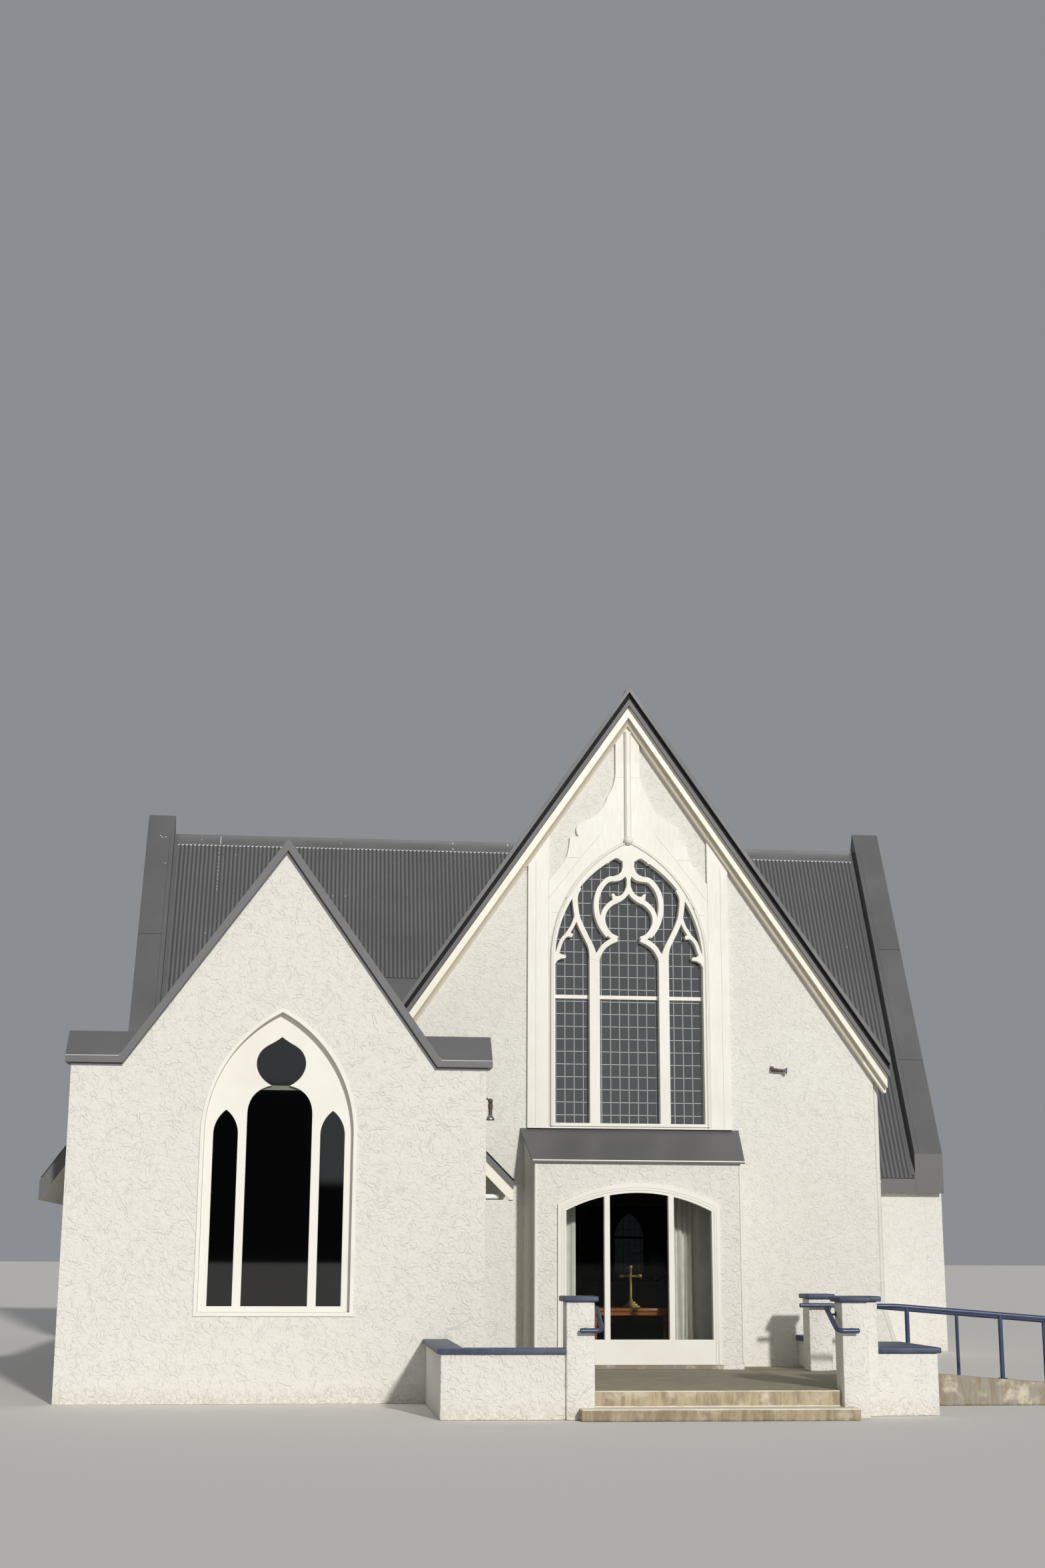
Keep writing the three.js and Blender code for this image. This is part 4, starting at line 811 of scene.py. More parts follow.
# %% Flat flashings
PARAPET_LIFT = PARAPET_RISE / math.hypot(1, NAVE_PITCH)  # the same, measured across the slope
flat = Builder()
shade_lines = Builder()
for slope, length in ((nave_front, 7.04), (nave_back, 7.017)):
    for s, side in ((0.0, 1), (2 * NAVE_HALF, -1)):
        a, b = sorted((s, s + side * 0.075))
        h = CREST + 0.004
        low = nave_front.reach(3.1) if slope is nave_front and side > 0 else length
        rows = [[slope.point(u, 0.02, h), slope.point(u, low - 0.02, h)] for u in (a, b)]
        if side < 0:
            rows.reverse()
        inner = rows[-1] if side > 0 else rows[0]
        flat.strip(rows)
        flat.strip([inner, [p - slope.normal * (h - 0.002) for p in inner]])
        # the lap on the parapet's top, a painted shadow line at its edge, and painted shade on the fold
        # at the parapet's side
        spans = (0.12, length - 0.35)
        u, v = s - side * 0.075, s - side * 0.002
        flat.strip([[slope.point(w, t, PARAPET_LIFT + 0.003) for t in spans] for w in (u, v)])
        edge = [slope.point(u, t, PARAPET_LIFT + 0.0015) for t in spans]
        shade_lines.strip([edge, [p + slope.along * side * -0.004 for p in edge]])
        fold = [slope.point(s + side * 0.0012, t, PARAPET_LIFT - 0.002) for t in (0.02, spans[1])]
        shade_lines.strip([fold, [p - slope.normal * 0.009 for p in fold]])
        # painted shade lines across the cladding at its laps
        for t in (2.4, 4.8):
            ends = [slope.point(s - side * w, t, PARAPET_LIFT + 0.002) for w in (0.49, 0.005)]
            shade_lines.strip([ends, [p + slope.down * 0.006 for p in ends]])
flat.piece("parapet_flashings", FLASHING, "roof_metal", tidy=False)
shade_lines.piece("parapet_shade_lines", DARK_GAP, "roof_metal", tidy=False)

valleys = Builder()


def valley(line, start, end):
    """A strip on the nave's slope beside a lower roof, which stands under the line."""
    rows = [[], []]
    for i in range(21):
        x = start + (end - start) * i / 20
        for row, up in zip(rows, (0.0, 0.16)):
            z = line(x) + up
            row.append(Vector((x, nave_meets(z), z)) + nave_front.normal * 0.004)
    valleys.strip(rows)


valley(gable_line, -0.05, VALLEY_X)
valley(gable_line, 0.05, GABLE_REACH)
valley(wing_line, -6.5, VALLEY_X)
for slope, start, end in ((gable_left, 0.2, 8.3), (wing_right, 1.65, 9.75)):
    t = slope.reach(VALLEY_Z)
    valleys.strip([[slope.point(start, u, 0.004), slope.point(end, u, 0.004)] for u in (t - 0.14, t)])
valleys.piece("valley_flashings", FLASHING, "roof_metal", tidy=False)

# %% [markdown]
# Screws hold the sheets on every third crest, in rows 900 mm apart. A few have lost their
# colour. Pale sealant shows at the joints of the ridge cap.

# %% Screws and sealant
screws, bright = Builder(), Builder()


def screw(build, slope, s, t, h, radius=0.008):
    centre = slope.point(s, t, h)
    loops = []
    for up, r in ((0, radius * 1.3), (0.002, radius * 1.3), (0.002, radius), (0.007, radius * 0.9)):
        loops.append(circle(centre + slope.normal * up, slope.along, slope.down, r, 6))
    build.loft(loops)


FIRST_ROW, ROW_GAP, FADED_SHARE = 0.45, 0.9, 0.03


def screw_rows(slope, length, lowest, every=3):
    for k in range(1, int(length / SHEET_PITCH) // every):
        s = k * every * SHEET_PITCH
        end = slope.reach(lowest(slope.point(s, 0)))
        t = FIRST_ROW
        while t < end - 0.05:
            faded = random.random() < FADED_SHARE
            screw(bright if faded else screws, slope, s, t, CREST)
            t += ROW_GAP


screw_rows(nave_front, 2 * NAVE_HALF, nave_front_lowest)
screw_rows(nave_back, 2 * NAVE_HALF, lambda at: NAVE_EAVE_BACK)
screw_rows(gable_left, GABLE_LENGTH, over_nave(lambda at: VALLEY_Z))
screw_rows(gable_right, GABLE_LENGTH, over_nave(lambda at: GABLE_EAVE))
screw_rows(wing_left, WING_LENGTH, over_nave(lambda at: wing_line(-6.6)))
screw_rows(wing_right, WING_LENGTH, over_nave(lambda at: VALLEY_Z))
# some stand on the left parapet, and some on the ridge cap
for s, t in ((-0.25, 0.16), (-0.22, 0.2), (-0.15, 0.19), (-0.12, 0.8)):
    screw(bright, nave_front, s, t, PARAPET_LIFT, 0.01)
for s in (0.5, 3.1, 7.4, 9.9):
    screw(bright, nave_front, s, 0.12, 0.025, 0.008)
screws.piece("roof_screws", FLASHING, "roof_metal", tidy=False)
bright.piece("faded_roof_screws", SEALANT, "roof_metal", tidy=False)

sealant = Builder()
DABS = ((0.85, 0.03, 0.2), (5.22, 0.02, 0.07), (5.22, 0.16, 0.2), (6.27, 0.02, 0.07), (10.4, 0.03, 0.12))
for s, t0, t1 in DABS:
    rows = [[nave_front.point(s + u, t, 0.0245) for t in (t0, t1)] for u in (0.0, 0.012)]
    sealant.strip(rows)
crest_line = round(0.84 / SHEET_PITCH) * SHEET_PITCH
t = 0.3
while t < 1.3:
    long = random.uniform(0.02, 0.06)
    ends = (t, t + long)
    sealant.strip([[nave_front.point(crest_line + u, v, 0.0195) for v in ends] for u in (0.0, 0.005)])
    t += long + random.uniform(0.02, 0.06)
sealant.piece("ridge_sealant", SEALANT, "roof_metal", tidy=False)

# %% [markdown]
# ## The verge of the tall gable
#
# From the top down: a folded flashing that stands proud, a gap under it drawn in painted shade, a grey
# strip, and then the cream bargeboard, with a cove between it and its moulding. Each follows both rakes.

# %% Verge
SLOPE_LENGTH = math.hypot(1, GABLE_PITCH)
VERGE_FRONT = depth(-0.2)


LEFT_END, RIGHT_END = 2.95, 3.25  # how far the verge reaches on each side


def rake(build, top, bottom, front, back):
    """A folded strip along both rakes. top and bottom are measured across the slope."""
    for side, low in ((-1, LEFT_END), (1, RIGHT_END)):
        loops = []
        for x in (0.0, low):
            zs = [gable_line(x) - drop * SLOPE_LENGTH for drop in (top, bottom)]
            corners = ((front, zs[0]), (back, zs[0]), (back, zs[1]), (front, zs[1]))
            loops.append([(side * x, VERGE_FRONT + y, z) for y, z in corners])
        build.loft(loops)


def rake_surface(build, side, low, lines):
    """A surface down one rake. lines holds each line's depth and drop across the slope."""
    rows = []
    for back, drop in lines:
        rows.append(
            [(side * x, VERGE_FRONT + back, gable_line(x) - drop * SLOPE_LENGTH) for x in (0.0, low)]
        )
    build.strip(rows)


# the flashing's top runs back, and over the first crest of the sheets
LID = ((-0.055, -0.0205), (0.03, -0.0205), (0.045, -0.0225), (0.075, -0.0225))
COVE = ((0.0395, 0.205), (0.075, 0.211), (0.098, 0.226), (0.111, 0.244), (0.1145, 0.2575))
cap, gap, strip, cove = (Builder() for _ in range(4))
rake(cap, -0.020, 0.026, -0.055, -0.001)
# the gap under the flashing is a strip of painted shade
rake(gap, 0.02, 0.126, -0.006, -0.0005)
rake(strip, 0.073, 0.122, -0.018, -0.004)
for side, low in ((-1, LEFT_END), (1, RIGHT_END)):
    rake_surface(cap, side, low, LID)
    rake_surface(cove, side, LEFT_END, COVE)
cap.piece("verge_flashing", FLASHING, "roof_metal")
gap.piece("verge_gap", DARK_GAP, "roof_metal")
strip.piece("verge_strip", ROOF_STEEL, "roof_metal")
# the cove carries painted shade
cove.piece("bargeboard_cove", COVE_PAINT, "cream_board", smooth=True)

# %% [markdown]
# ## The window of the tall gable
#
# A bead runs around the frame, a second line is sunk inside it, and a square grid of lead cames
# fills every light, 115 mm apart across and 155 mm up.

# %% Arch helpers
ARCH_STEPS = 14
CAME_THICK = 0.006


def arch_numbers(half, spring, apex):
    radius = (half**2 + (apex - spring) ** 2) / (2 * half)
    return radius, radius - half


def pointed_arch(half, sill, spring, apex, grow=0.0, centre=0.0, closed=True):
    radius, reach = arch_numbers(half, spring, apex)
    grown = radius + grow
    lean = math.acos(reach / grown)
    points = [(centre + half + grow, sill - (grow if closed else 0))]
    if closed:
        points.insert(0, (centre - half - grow, sill - grow))
    for i in range(ARCH_STEPS + 1):
        a = lean * i / ARCH_STEPS
        points.append((centre - reach + grown * math.cos(a), spring + grown * math.sin(a)))
    for i in range(1, ARCH_STEPS + 1):
        a = math.pi - lean + lean * i / ARCH_STEPS
        points.append((centre + reach + grown * math.cos(a), spring + grown * math.sin(a)))
    if not closed:
        points.append((centre - half - grow, sill))
    return points


def leads(build, axis, front, centre, half, sill, spring, apex, offset=0.0, first=None):
    """Lead strips on the outside of a pointed window's glass. front is the glass face's depth."""
    radius, reach = arch_numbers(half, spring, apex)
    near, far = sorted((front, front + (-CAME_THICK if axis == "y" else CAME_THICK)))
    half_came = 0.0035

    def lead(u0, v0, u1, v1):
        build.box(place_on(axis, centre + u0, v0, near), place_on(axis, centre + u1, v1, far))

    steps = int(half / LEAD_ACROSS) + 1
    for k in range(-steps, steps + 1):
        u = k * LEAD_ACROSS + offset
        if abs(u) < half - 0.01:
            top = spring + math.sqrt(max(radius**2 - (abs(u) + reach) ** 2, 0))
            lead(u - half_came, sill, u + half_came, top)
    v = first or sill + LEAD_UP * 0.55
    while v < apex - 0.03:
        wide = half if v <= spring else math.sqrt(max(radius**2 - (v - spring) ** 2, 0)) - reach
        if wide > 0.02:
            lead(-wide, v - half_came, wide, v + half_came)
        v += LEAD_UP


TALL = dict(half=0.99, sill=3.1, spring=5.15, apex=6.68)
came = Builder()
GLASS = dict(centre=0.0, half=0.95, sill=3.12, spring=5.15, apex=6.6)
leads(came, "y", depth(0.0598), **GLASS, offset=0.0045, first=3.244)
came.piece("gable_window_leads", LEAD, "dark_glass")

bead = Builder()
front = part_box("gable_tracery")[0].y
bead.tube([(u, front, v) for u, v in pointed_arch(**TALL, grow=-0.012, closed=False)], 0.013, 10)
bead.piece("gable_window_bead", WHITE_TRIM, "white_trim", smooth=True)
sunk = Builder()
for grow, width in ((-0.03, 0.004), (0.012, 0.005)):
    deep = front - 0.0002 if grow < 0 else depth(-0.0452)
    sunk.ribbon(pointed_arch(**TALL, grow=grow, closed=False), width, "y", deep, 0.0006)
sunk.piece("gable_window_grooves", JOINT, "white_trim")

# %% [markdown]
# Carved details on the tracery: the shoulder beside each round lobe, the cusps on the bars, the
# heel where a bar leaves the frame, and the splayed heads of the mullions.

# %% Cusps
CUSPS = (
    ((-0.077, 6.4), (-0.072, 6.347), (-0.094, 6.277), (-0.131, 6.242), (-0.18, 6.225), (-0.18, 6.19),
     (-0.09, 6.2), (-0.03, 6.27), (-0.03, 6.4)),
    ((-0.222, 5.992), (-0.19, 5.998), (-0.165, 5.964), (-0.125, 5.966), (-0.075, 5.995), (-0.045, 6.01),
     (-0.04, 5.99), (-0.116, 5.92), (-0.2, 5.88), (-0.205, 5.93), (-0.21, 5.96)),
    ((-0.74, 5.52), (-0.735, 5.485), (-0.708, 5.47), (-0.722, 5.43), (-0.76, 5.438), (-0.8, 5.43),
     (-0.845, 5.375), (-0.86, 5.39), (-0.78, 5.49)),
    ((-0.8, 5.205), (-0.8, 5.168), (-0.86, 5.16), (-0.91, 5.13), (-0.935, 5.08), (-0.955, 5.06),
     (-0.955, 5.25), (-0.91, 5.235), (-0.87, 5.215)),
    ((-0.645, 5.86), (-0.65, 5.93), (-0.636, 5.99), (-0.604, 6.05), (-0.622, 6.07), (-0.7, 6.0),
     (-0.69, 5.9)),
    ((-0.502, 5.16), (-0.505, 5.24), (-0.515, 5.3), (-0.535, 5.355), (-0.5, 5.37), (-0.46, 5.29),
     (-0.425, 5.235), (-0.385, 5.27), (-0.34, 5.325), (-0.31, 5.3), (-0.366, 5.19), (-0.374, 5.14)),
)
carved = Builder()
for outline in CUSPS:
    for side in (-1, 1):
        carved.prism([(side * u, v) for u, v in outline], "y", front - 0.0006, depth(0.03))
carved.piece("tracery_cusps", WHITE_TRIM, "white_trim")

# %% [markdown]
# Thin joints show where the wide painted boards meet.

# %% Board joints
joints = Builder()
board_face = depth(-0.0451)
JOINT_LINES = (
    ((-1.178, 6.38), (-1.172, 3.09)),
    ((-1.013, 6.17), (-1.012, 3.09)),
    ((-1.013, 5.918), (-0.585, 6.482), (-0.36, 6.75)),
    ((-0.808, 6.447), (-0.63, 6.45)),
    ((-0.971, 5.742), (-0.868, 5.742)),
    ((-0.157, 7.51), (-0.046, 7.51)),
)
for line in JOINT_LINES:
    for side in (1, -1):
        joints.ribbon([(side * u, v) for u, v in line], 0.0035, "y", board_face, 0.0008)
joints.piece("board_joints", JOINT, "white_trim")

# %% [markdown]
# ## The bay
#
# Rounded beads cover its corners, a thin white fascia hides under the front of its roof, and a
# groove runs around the frame of its low arched window.

# %% Bay trims
trims = Builder()
BAY_FRONT, BAY_HALF = depth(-0.6), 1.24
for side in (-1, 1):
    trims.tube([(side * (BAY_HALF - 0.006), BAY_FRONT + 0.004, z) for z in (0.34, 2.62)], 0.018, 12)
# a white drip edge under the front of the roof, and a shadow gap between it and the stucco
trims.box((-1.28, depth(-0.66), 2.655), (1.28, depth(-0.6505), 2.669))
trims.piece("bay_trims", WHITE_TRIM, "white_trim", smooth=True)


def segment_arch(half, spring, apex, foot):
    """A low arch, from its foot on the left over to its foot on the right."""
    radius = (half**2 + (apex - spring) ** 2) / (2 * (apex - spring))
    start = math.acos(half / radius)
    turns = [math.pi - start - (math.pi - 2 * start) * i / 28 for i in range(29)]
    arc = [(radius * math.cos(a), apex - radius + radius * math.sin(a)) for a in turns]
    return [(-half, foot), *arc, (half, foot)]


groove = Builder()
frame_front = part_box("bay_window_frame")[0].y - 0.0002
for line, width in (
    (segment_arch(0.902, 2.1, 2.322, 0.33), 0.006),
    ([(0.936, 0.33), (0.936, 0.6)], 0.003),
    (segment_arch(0.93, 2.12, 2.35, 0.33), 0.004),
):
    groove.ribbon(line, width, "y", frame_front, 0.001)
groove.piece("bay_frame_groove", JOINT, "white_trim")
plinth = Builder()
plinth.box((-0.99, depth(-0.612), 0.271), (0.99, depth(-0.6005), 0.318))
plinth.piece("bay_plinth", PLINTH, "concrete")

# %% [markdown]
# ## Windows in the side and back walls
#
# These can't be seen in the photograph. Each is a plain lancet: a white frame at the inner end
# of its reveal, leadwork on the glass, and a sloping sill.

# %% Lancets
frames, side_leads, sills = Builder(), Builder(), Builder()


def lancet(axis, centre, half, sill, spring, apex, glass, out):
    """glass is the depth of the glass's outer face, and out the direction to the outside."""
    near, far = glass + out * 0.001, glass + out * 0.06
    outer = pointed_arch(half, sill, spring, apex, -0.0005, centre)
    inner = pointed_arch(half, sill, spring, apex, -0.045, centre)
    frames.ring(outer, inner, axis, *sorted((near, far)))
    low, high = sorted((near, glass + out * 0.045))
    frames.box(
        place_on(axis, centre - half + 0.04, spring - 0.02, low),
        place_on(axis, centre + half - 0.04, spring + 0.02, high),
    )
    build = Builder()
    leads(build, axis, 0.0, centre, half - 0.04, sill + 0.04, spring, apex - 0.06)
    if axis == "y":
        moved = [(x, glass - y * out, z) for x, y, z in build.points]
    else:
        moved = [(glass + x * out, y, z) for x, y, z in build.points]
    side_leads.add(moved, build.faces)
    wall = glass + out * 0.299
    profile = [(far, sill + 0.004), (wall, sill + 0.004), (wall, sill + 0.012), (far, sill + 0.075)]
    loops = []
    for u in (centre - half + 0.001, centre + half - 0.001):
        loops.append([place_on(axis, u, v, deep) for deep, v in profile])
    sills.loft(loops)


# each row: direction, centres, half the width, spring, apex, the glass's outer face, the way out
LOW_SILL = 1.15
LANCETS = [
    ("x", [depth(y) for y in (2.0, 4.0, 6.0, 8.0)], 0.33, 2.25, 2.9, 2.79, 1),
    ("x", [depth(y) for y in (0.8, 3.0, 5.2, 7.4)], 0.33, 1.9, 2.42, -6.26, -1),
    ("y", (4.1, 5.6), 0.33, 1.9, 2.42, depth(9.75), -1),
    ("y", (-5.0, -2.5, 0.0, 2.5, 5.0), 0.33, 1.9, 2.42, depth(15.15), 1),
]
for y, apex in ((-1.15, 3.1), (0.0, 3.9), (1.15, 3.1)):
    for side in (-1, 1):
        LANCETS.append(("x", [NAVE_RIDGE_Y + y], 0.36, apex - 0.62, apex, side * 6.715, side))
for axis, centres, half, spring, apex, glass, out in LANCETS:
    for centre in centres:
        lancet(axis, centre, half, LOW_SILL, spring, apex, glass, out)
frames.piece("lancet_frames", WHITE_TRIM, "white_trim")
side_leads.piece("lancet_leads", LEAD, "dark_glass")
sills.piece("lancet_sills", WHITE_TRIM, "white_trim")

# %% [markdown]
# ## Wing
#
# The folds of the coping catch the light, shown as a painted highlight along its lower crease
# and mitres. A thin grey bar crosses the window's glass at its neck.

# %% Coping folds
folds = Builder()
coping_front = depth(-2.0455)
CREASE, CREASE_HALF, COPING_END = 3.687, 1.787, 2.363
for side in (-1, 1):
    corner = (WING_AXIS + side * CREASE_HALF, coping_front, CREASE)
    end = (WING_AXIS + side * COPING_END, coping_front, CREASE)
    inner = (WING_AXIS + side * (CREASE_HALF - 0.205), coping_front + 0.285, CREASE + 0.285)
    # thin rods along the crease and mitres carry the painted highlight
    folds.tube([corner, end], 0.004, 6)
    folds.tube([corner, inner], 0.004, 6)
folds.piece("coping_folds", FOLD_HIGHLIGHT, "roof_metal")
neck = Builder()
NECK_HALF, NECK_LOW, NECK_HIGH = 0.3, 3.345, 3.395
neck.box(
    (WING_AXIS - NECK_HALF, depth(-1.8695), NECK_LOW),
    (WING_AXIS + NECK_HALF, depth(-1.8649), NECK_HIGH),
)
neck.piece("wing_window_transom", BAR_PAINT, "white_trim")

# %% [markdown]
# ## Rails and pipes
#
# Bent steel pipe, drawn round and smooth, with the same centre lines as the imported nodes.


# %% Rails
def bent(points, bend, steps=8):
    """A path with a smooth bend at each inner point."""
    points = [Vector(p) for p in points]
    path = [points[0]]
    for before, at, after in zip(points, points[1:], points[2:]):
        entry = at + (before - at).normalized() * bend
        leave = at + (after - at).normalized() * bend
        for i in range(steps + 1):
            t = i / steps
            path.append((1 - t) ** 2 * entry + 2 * t * (1 - t) * at + t**2 * leave)
    path.append(points[-1])
    return path


def rounded_bar(build, path, radius, sides=18):
    """A pipe with domed ends."""
    build.tube(path, radius, sides)
    for end, before in ((path[0], path[1]), (path[-1], path[-2])):
        out = (end - before).normalized()
        dome = [(radius * 0.45 * math.sin(a), radius * math.cos(a)) for a in (0, 0.4, 0.8, 1.2, 1.5)]
        build.lathe([(far - 0.0005, r) for far, r in dome], end, out, sides)


PIPE = 0.025
RAIL_LOW, RAIL_HIGH = 0.846, 1.05  # the ends of the handrails at the steps
PIER_FRONT, RAIL_END = depth(-4.3), depth(-3.96)
CLEAR = 0.066  # from a pier to the middle of its rail
ROSE = ((0.0, 0.028), (0.004, 0.028), (0.006, 0.024))
for name, face, side in (("left", -1.084, 1), ("right", 1.416, -1)):
    x, y = face + side * CLEAR, PIER_FRONT - CLEAR
    outer = face - side * 0.15
    build = Builder()
    path = bent([(outer, y, RAIL_LOW), (x, y, RAIL_LOW), (x, RAIL_END, RAIL_HIGH)], 0.07)
    rounded_bar(build, path, PIPE)
    # a stub fixes each end: one on the pier's front, one on its side
    front_x, side_y = outer + side * 0.055, depth(-4.07)
    side_z = RAIL_LOW + (RAIL_HIGH - RAIL_LOW) * (side_y - y) / (RAIL_END - y)
    stubs = (
        ((front_x, y, RAIL_LOW), (front_x, PIER_FRONT, RAIL_LOW)),
        ((x, side_y, side_z), (face, side_y, side_z)),
    )
    for start, end in stubs:
        build.tube([start, end], 0.0105, 12)
        build.lathe(ROSE, end, Vector(start) - Vector(end), 18)
    made = build.piece("step_rail_" + name, RAIL_PAINT, "rail_paint", smooth=True)
    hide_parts("step_handrail_" + name)


RAMP_START, RAMP_LENGTH, RAMP_HIGH, RAMP_LOW = 2.5, 3.4, 0.27, 0.012


def ramp_top(x):
    down = max(x - RAMP_START, 0) / RAMP_LENGTH
    return RAMP_HIGH - down * (RAMP_HIGH - RAMP_LOW)


POSTS = [2.625 + 1.05 * i for i in range(4)]
# each row: where the railing starts and its return, its height, the foot's height, the posts' width
RAILINGS = (
    ("front", depth(-2.6 + 0.055), 1.8, depth(-3.73), 0.772, 0.095, 0.05),
    ("rear", depth(-1.07), 1.81, None, 0.74, 0.0, 0.04),
)
for name, y, start, origin, height, foot, post in RAILINGS:
    build = Builder()
    points = [(x, y, ramp_top(x) + height) for x in (start, RAMP_START, POSTS[-1] + 0.12)]
    if origin is not None:
        points.insert(0, (start, origin, ramp_top(start) + height))
    rounded_bar(build, bent(points, 0.06), PIPE)
    for x in POSTS:
        base = ramp_top(x) + foot
        build.tube([(x, y, base + 0.001), (x, y, ramp_top(x) + height)], post / 2, 16)
        build.lathe([(0.0, 0.05), (0.008, 0.05), (0.01, 0.046)], (x, y, base), (0, 0, 1), 18)
    made = build.piece("ramp_rail_" + name, RAIL_PAINT, "rail_paint", smooth=True)
    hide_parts("ramp_railing_" + name)

PIPE_FOOT_X, pipe_top = 3.09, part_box("downpipe")[1].z
build = Builder()
x, y = PIPE_FOOT_X + 0.036, depth(0.07)
build.tube(bent([(x, y, pipe_top), (x, y, 0.985), (x + 0.2727, y, 0.06)], 0.06), 0.035, 20)
for z in (1.25, 2.45, pipe_top - 0.25):
    build.lathe([(0.0, 0.039), (0.03, 0.039)], (x, y, z), (0, 0, 1), 20)
build.box((PIPE_FOOT_X, y - 0.05, pipe_top - 0.06), (x + 0.05, y + 0.05, pipe_top + 0.05))
made = build.piece("round_downpipe", PIPE_PAINT, "pipe_paint", smooth=True)
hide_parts("downpipe")

# %% [markdown]
# ## Curtains
#
# Two lengths of cotton, gathered on a hidden track and drawn back to the sides of the bay. Each
# is one sheet whose folds deepen towards the hem.


# %% Curtains
def curtain(name, left, right, folds, phase, full=1.0, plain=0.0):
    """full is the depth of the folds, and plain the width at the right that hangs almost flat."""
    top, hem, middle = 2.448, 0.292, depth(0.055)
    gathered = right - left - plain
    across, extra, up = 16 * folds, 20 if plain else 0, 36
    rows = []
    for j in range(up + 1):
        fall = j / up
        z = top + (hem - top) * fall
        row = []
        for i in range(across + extra + 1):
            s = min(i / across, 1.0)
            over = max(i - across, 0) / max(extra, 1)
            fullness = max(0.14, 1 - 3 * over)
            deep = (0.024 + 0.012 * fall) * fullness * full
            turn = 2 * math.pi * (folds * s + 1.6 * over) + phase
            sway = 0.35 * math.sin(3.1 * fall + 7 * s + phase)
            x = left + gathered * s + plain * over
            x += 0.010 * math.sin(turn * 0.5 + 2.2 * fall) * math.sin(math.pi * s)
            y = middle + deep * math.sin(turn + sway) + 0.005 * fullness * math.sin(turn * 2.3 + 4 * fall)
            row.append((x, y, z))
        rows.append(row)
    build = Builder()
    build.strip(rows)
    made = build.piece(name + "_cloth", CLOTH, "curtain", smooth=True, tidy=False)
    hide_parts(name)


curtain("curtain_left", -1.085, -0.668, 4, 0.4, 0.6)
curtain("curtain_right", 0.505, 1.075, 4, 1.1, 1.0, 0.29)

# %% [markdown]
# ## Lamps
#
# A slim floodlight with a silvered bowl hangs on the wing's corner, a smaller one looks along
# the tall gable, and a white tube lamp lies behind the lean-to's board.


# %% Lamps
def floodlight(name, base, out, aim, size):
    """base is on the wall, out points away from it and aim is where the lamp looks."""
    base, out, aim = Vector(base), Vector(out), Vector(aim).normalized()
    above = base + Vector((0, 0, 0.03 * size))
    elbow = base + out * 0.055 * size
    dark, bowl, glass = Builder(), Builder(), Builder()

    def turned(build, profile, at, axis, sides):
        build.lathe([(far * size, r * size) for far, r in profile], at, axis, sides)

    turned(dark, [(0.0, 0.036), (0.008, 0.036), (0.012, 0.014), (0.02, 0.011)], above, out, 20)
    dark.tube([above + out * 0.01 * size, elbow], 0.009 * size, 10)
    shell = [(-0.03, 0.008), (-0.026, 0.022), (0.0, 0.029), (0.018, 0.025), (0.024, 0.02), (0.03, 0.028)]
    shell += [(0.085, 0.028), (0.088, 0.023), (0.15, 0.022), (0.165, 0.024)]
    turned(dark, shell, elbow, aim, 24)
    turned(dark, [(0.21, 0.05), (0.221, 0.052), (0.222, 0.045)], elbow, aim, 24)
    dark.piece(name, BRONZE, "rail_paint", smooth=True)
    curve = [(0.16, 0.02), (0.172, 0.03), (0.19, 0.042), (0.21, 0.049), (0.214, 0.049)]
    turned(bowl, curve, elbow, aim, 28)
    bowl.piece(name + "_bowl", SILVER, "rail_paint", smooth=True)
    turned(glass, [(0.2145, 0.046), (0.216, 0.04), (0.217, 0.02)], elbow, aim, 28)
    glass.piece(name + "_lens", LENS, "white_trim", smooth=True)


floodlight("wing_floodlight", (-1.96, depth(-1.9), 3.25), (1, 0, 0), (0.0, -0.02, -1), 0.96)
floodlight("gable_floodlight", (1.80, depth(0.0), 3.82), (0, -1, 0), (1.0, -0.1, -0.08), 0.8)
lamp = Builder()
rounded_bar(lamp, [Vector((x, depth(-0.3), 2.243)) for x in (-1.95, -1.8, -1.65)], 0.03)
lamp.piece("tube_lamp", LENS, "white_trim", smooth=True)

# %% [markdown]
# The door in the wing's side can't be seen in the photograph: it gets a lever and two hinges.

# %% Door furniture
handle = Builder()
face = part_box("entrance_door")[1].x
y = depth(-1.5 + 0.07)
handle.box((face, y - 0.02, 1.2), (face + 0.004, y + 0.02, 1.42))
handle.tube([(face, y, 1.34), (face + 0.045, y, 1.34), (face + 0.045, y + 0.11, 1.34)], 0.009, 10)
for z in (0.6, 2.0):
    handle.tube([(face + 0.002, depth(-0.59), z), (face + 0.002, depth(-0.59), z + 0.1)], 0.008, 8)
handle.piece("door_furniture", BRASS, "brass", smooth=True)

# %% [markdown]
# ## Stage, light and camera
#
# A pale floor, soft even light from all round, and one lamp on the viewer's right, as low as
# the sun stands in the photograph. Behind the camera hang a pale panel, which the tall window
# mirrors, and under it a dark cloth, which the low windows mirror.

# %% Stage
FAR = 300
mesh = bpy.data.meshes.new("floor")
mesh.from_pydata([(-FAR, -FAR, 0), (FAR, -FAR, 0), (FAR, FAR, 0), (-FAR, FAR, 0)], [], [(0, 1, 2, 3)])
mesh.materials.append(start_material("pale studio floor", "#e0ddd8", 0.9)[0])
ground = put("floor", mesh)
ground.location.z = -0.001

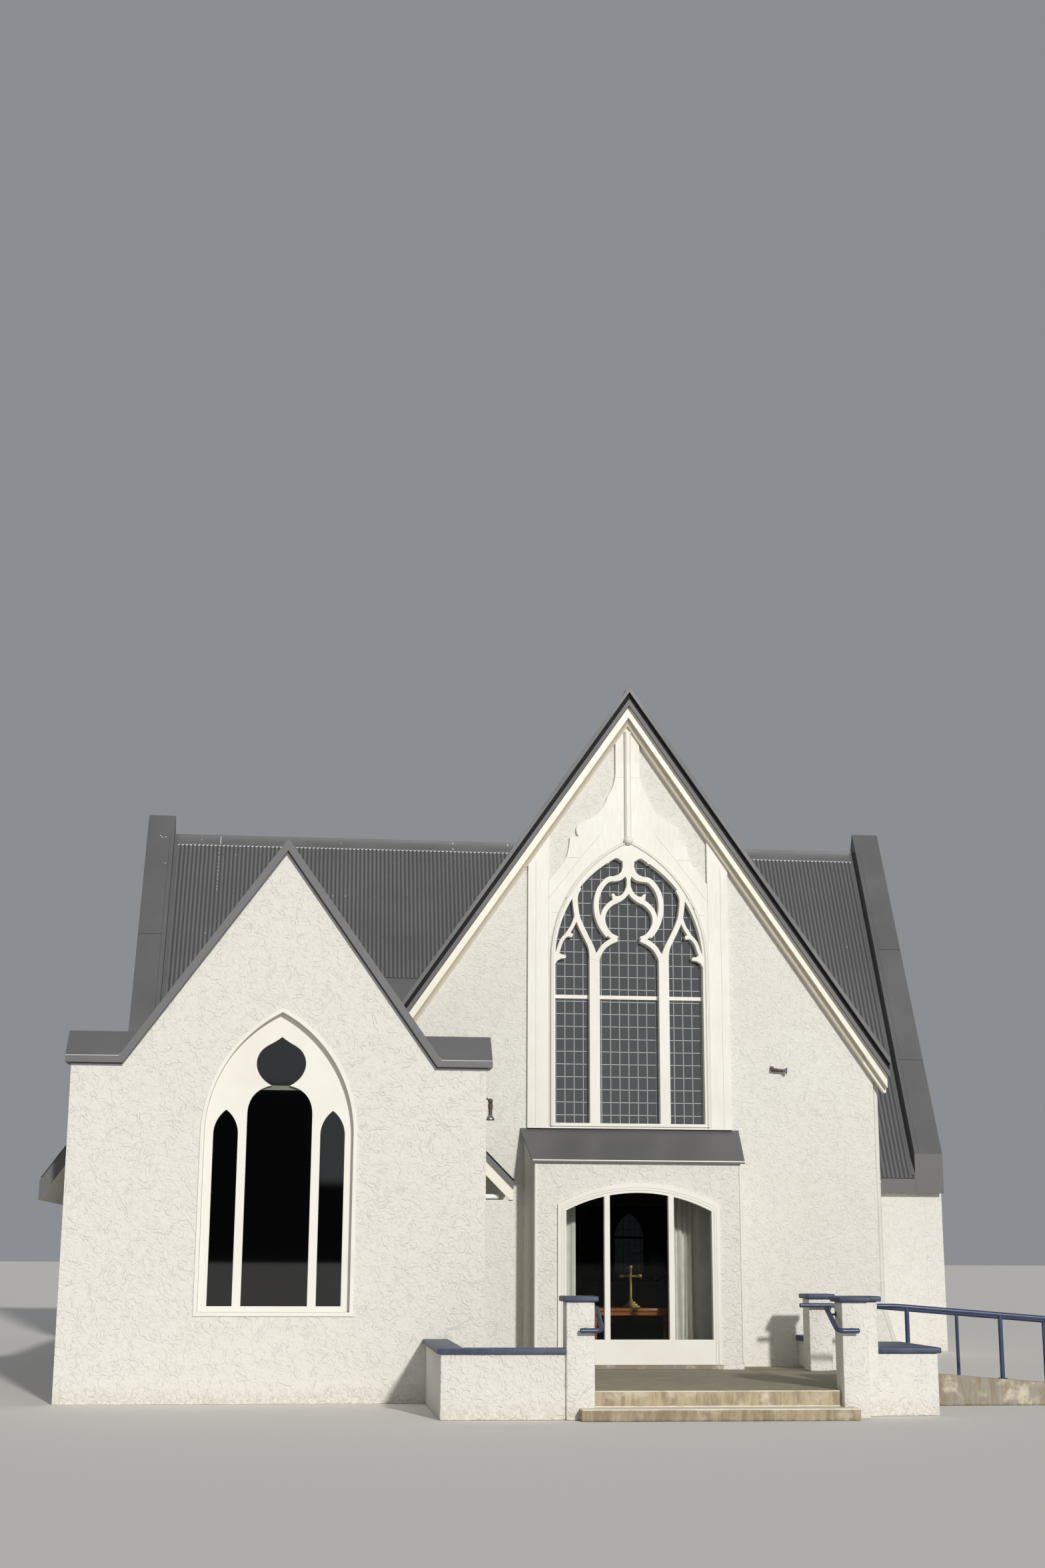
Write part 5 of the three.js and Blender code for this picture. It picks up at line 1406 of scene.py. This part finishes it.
world = bpy.data.worlds.new("studio")
bpy.context.scene.world = world
world.use_nodes = True
tree = world.node_tree
tree.nodes.clear()
way = node(tree, "SeparateXYZ", links={0: node(tree, "TexCoord").outputs["Generated"]})
behind = ramp(way.outputs[1], -0.2, -0.6)
cloth_top = ramp(way.outputs[0], 0.006, 0.011, 0.081, 0.034)
below = ramp(maths("SUBTRACT", way.outputs[2], cloth_top), 0.003, -0.003)
cloth = times(behind, below)
panel = times(behind, ramp(way.outputs[2], 0.4, 0.3))
light = blend(panel, "#8b8e92", "#bfc2c4")
light = blend(cloth, light, "#2c2e2d")
sky = node(tree, "Background", {"Strength": 1.0}, {"Color": light})
node(tree, "OutputWorld", links={"Surface": sky.outputs[0]})

sun = bpy.data.lights.new("key", "SUN")
sun.energy = 2.55
sun.angle = math.radians(3)
sun.color = (1.0, 0.975, 0.935)
SUN_RAYS = Vector((-0.25, 1.0, -0.4))
put("key", sun).rotation_euler = SUN_RAYS.to_track_quat("-Z", "Y").to_euler()

# %% Camera
FOCAL_LENGTH, PICTURE_HEIGHT = 2950, 2352  # both in the photograph's pixels
EYE = Vector((-4.045, depth(-24.2), 1.58))
YAW, TILT, ROLL = (math.radians(a) for a in (6.36, 13.43, 0.26))
forward = Vector((math.sin(YAW) * math.cos(TILT), math.cos(YAW) * math.cos(TILT), math.sin(TILT)))
right = Vector((math.cos(YAW), -math.sin(YAW), 0))
upward = right.cross(forward)
right, upward = (
    math.cos(ROLL) * right + math.sin(ROLL) * upward,
    -math.sin(ROLL) * right + math.cos(ROLL) * upward,
)
lens = bpy.data.cameras.new("camera")
lens.sensor_fit = "VERTICAL"
lens.sensor_height = 36
lens.lens = lens.sensor_height * FOCAL_LENGTH / PICTURE_HEIGHT
lens.clip_end = 1000
camera = put("camera", lens)
turn = Matrix((right, upward, -forward)).transposed().to_4x4()
camera.matrix_world = Matrix.Translation(EYE) @ turn
bpy.context.scene.camera = camera
bpy.context.scene.view_settings.view_transform = "Standard"

# %% Update the scene
bpy.context.view_layer.update()
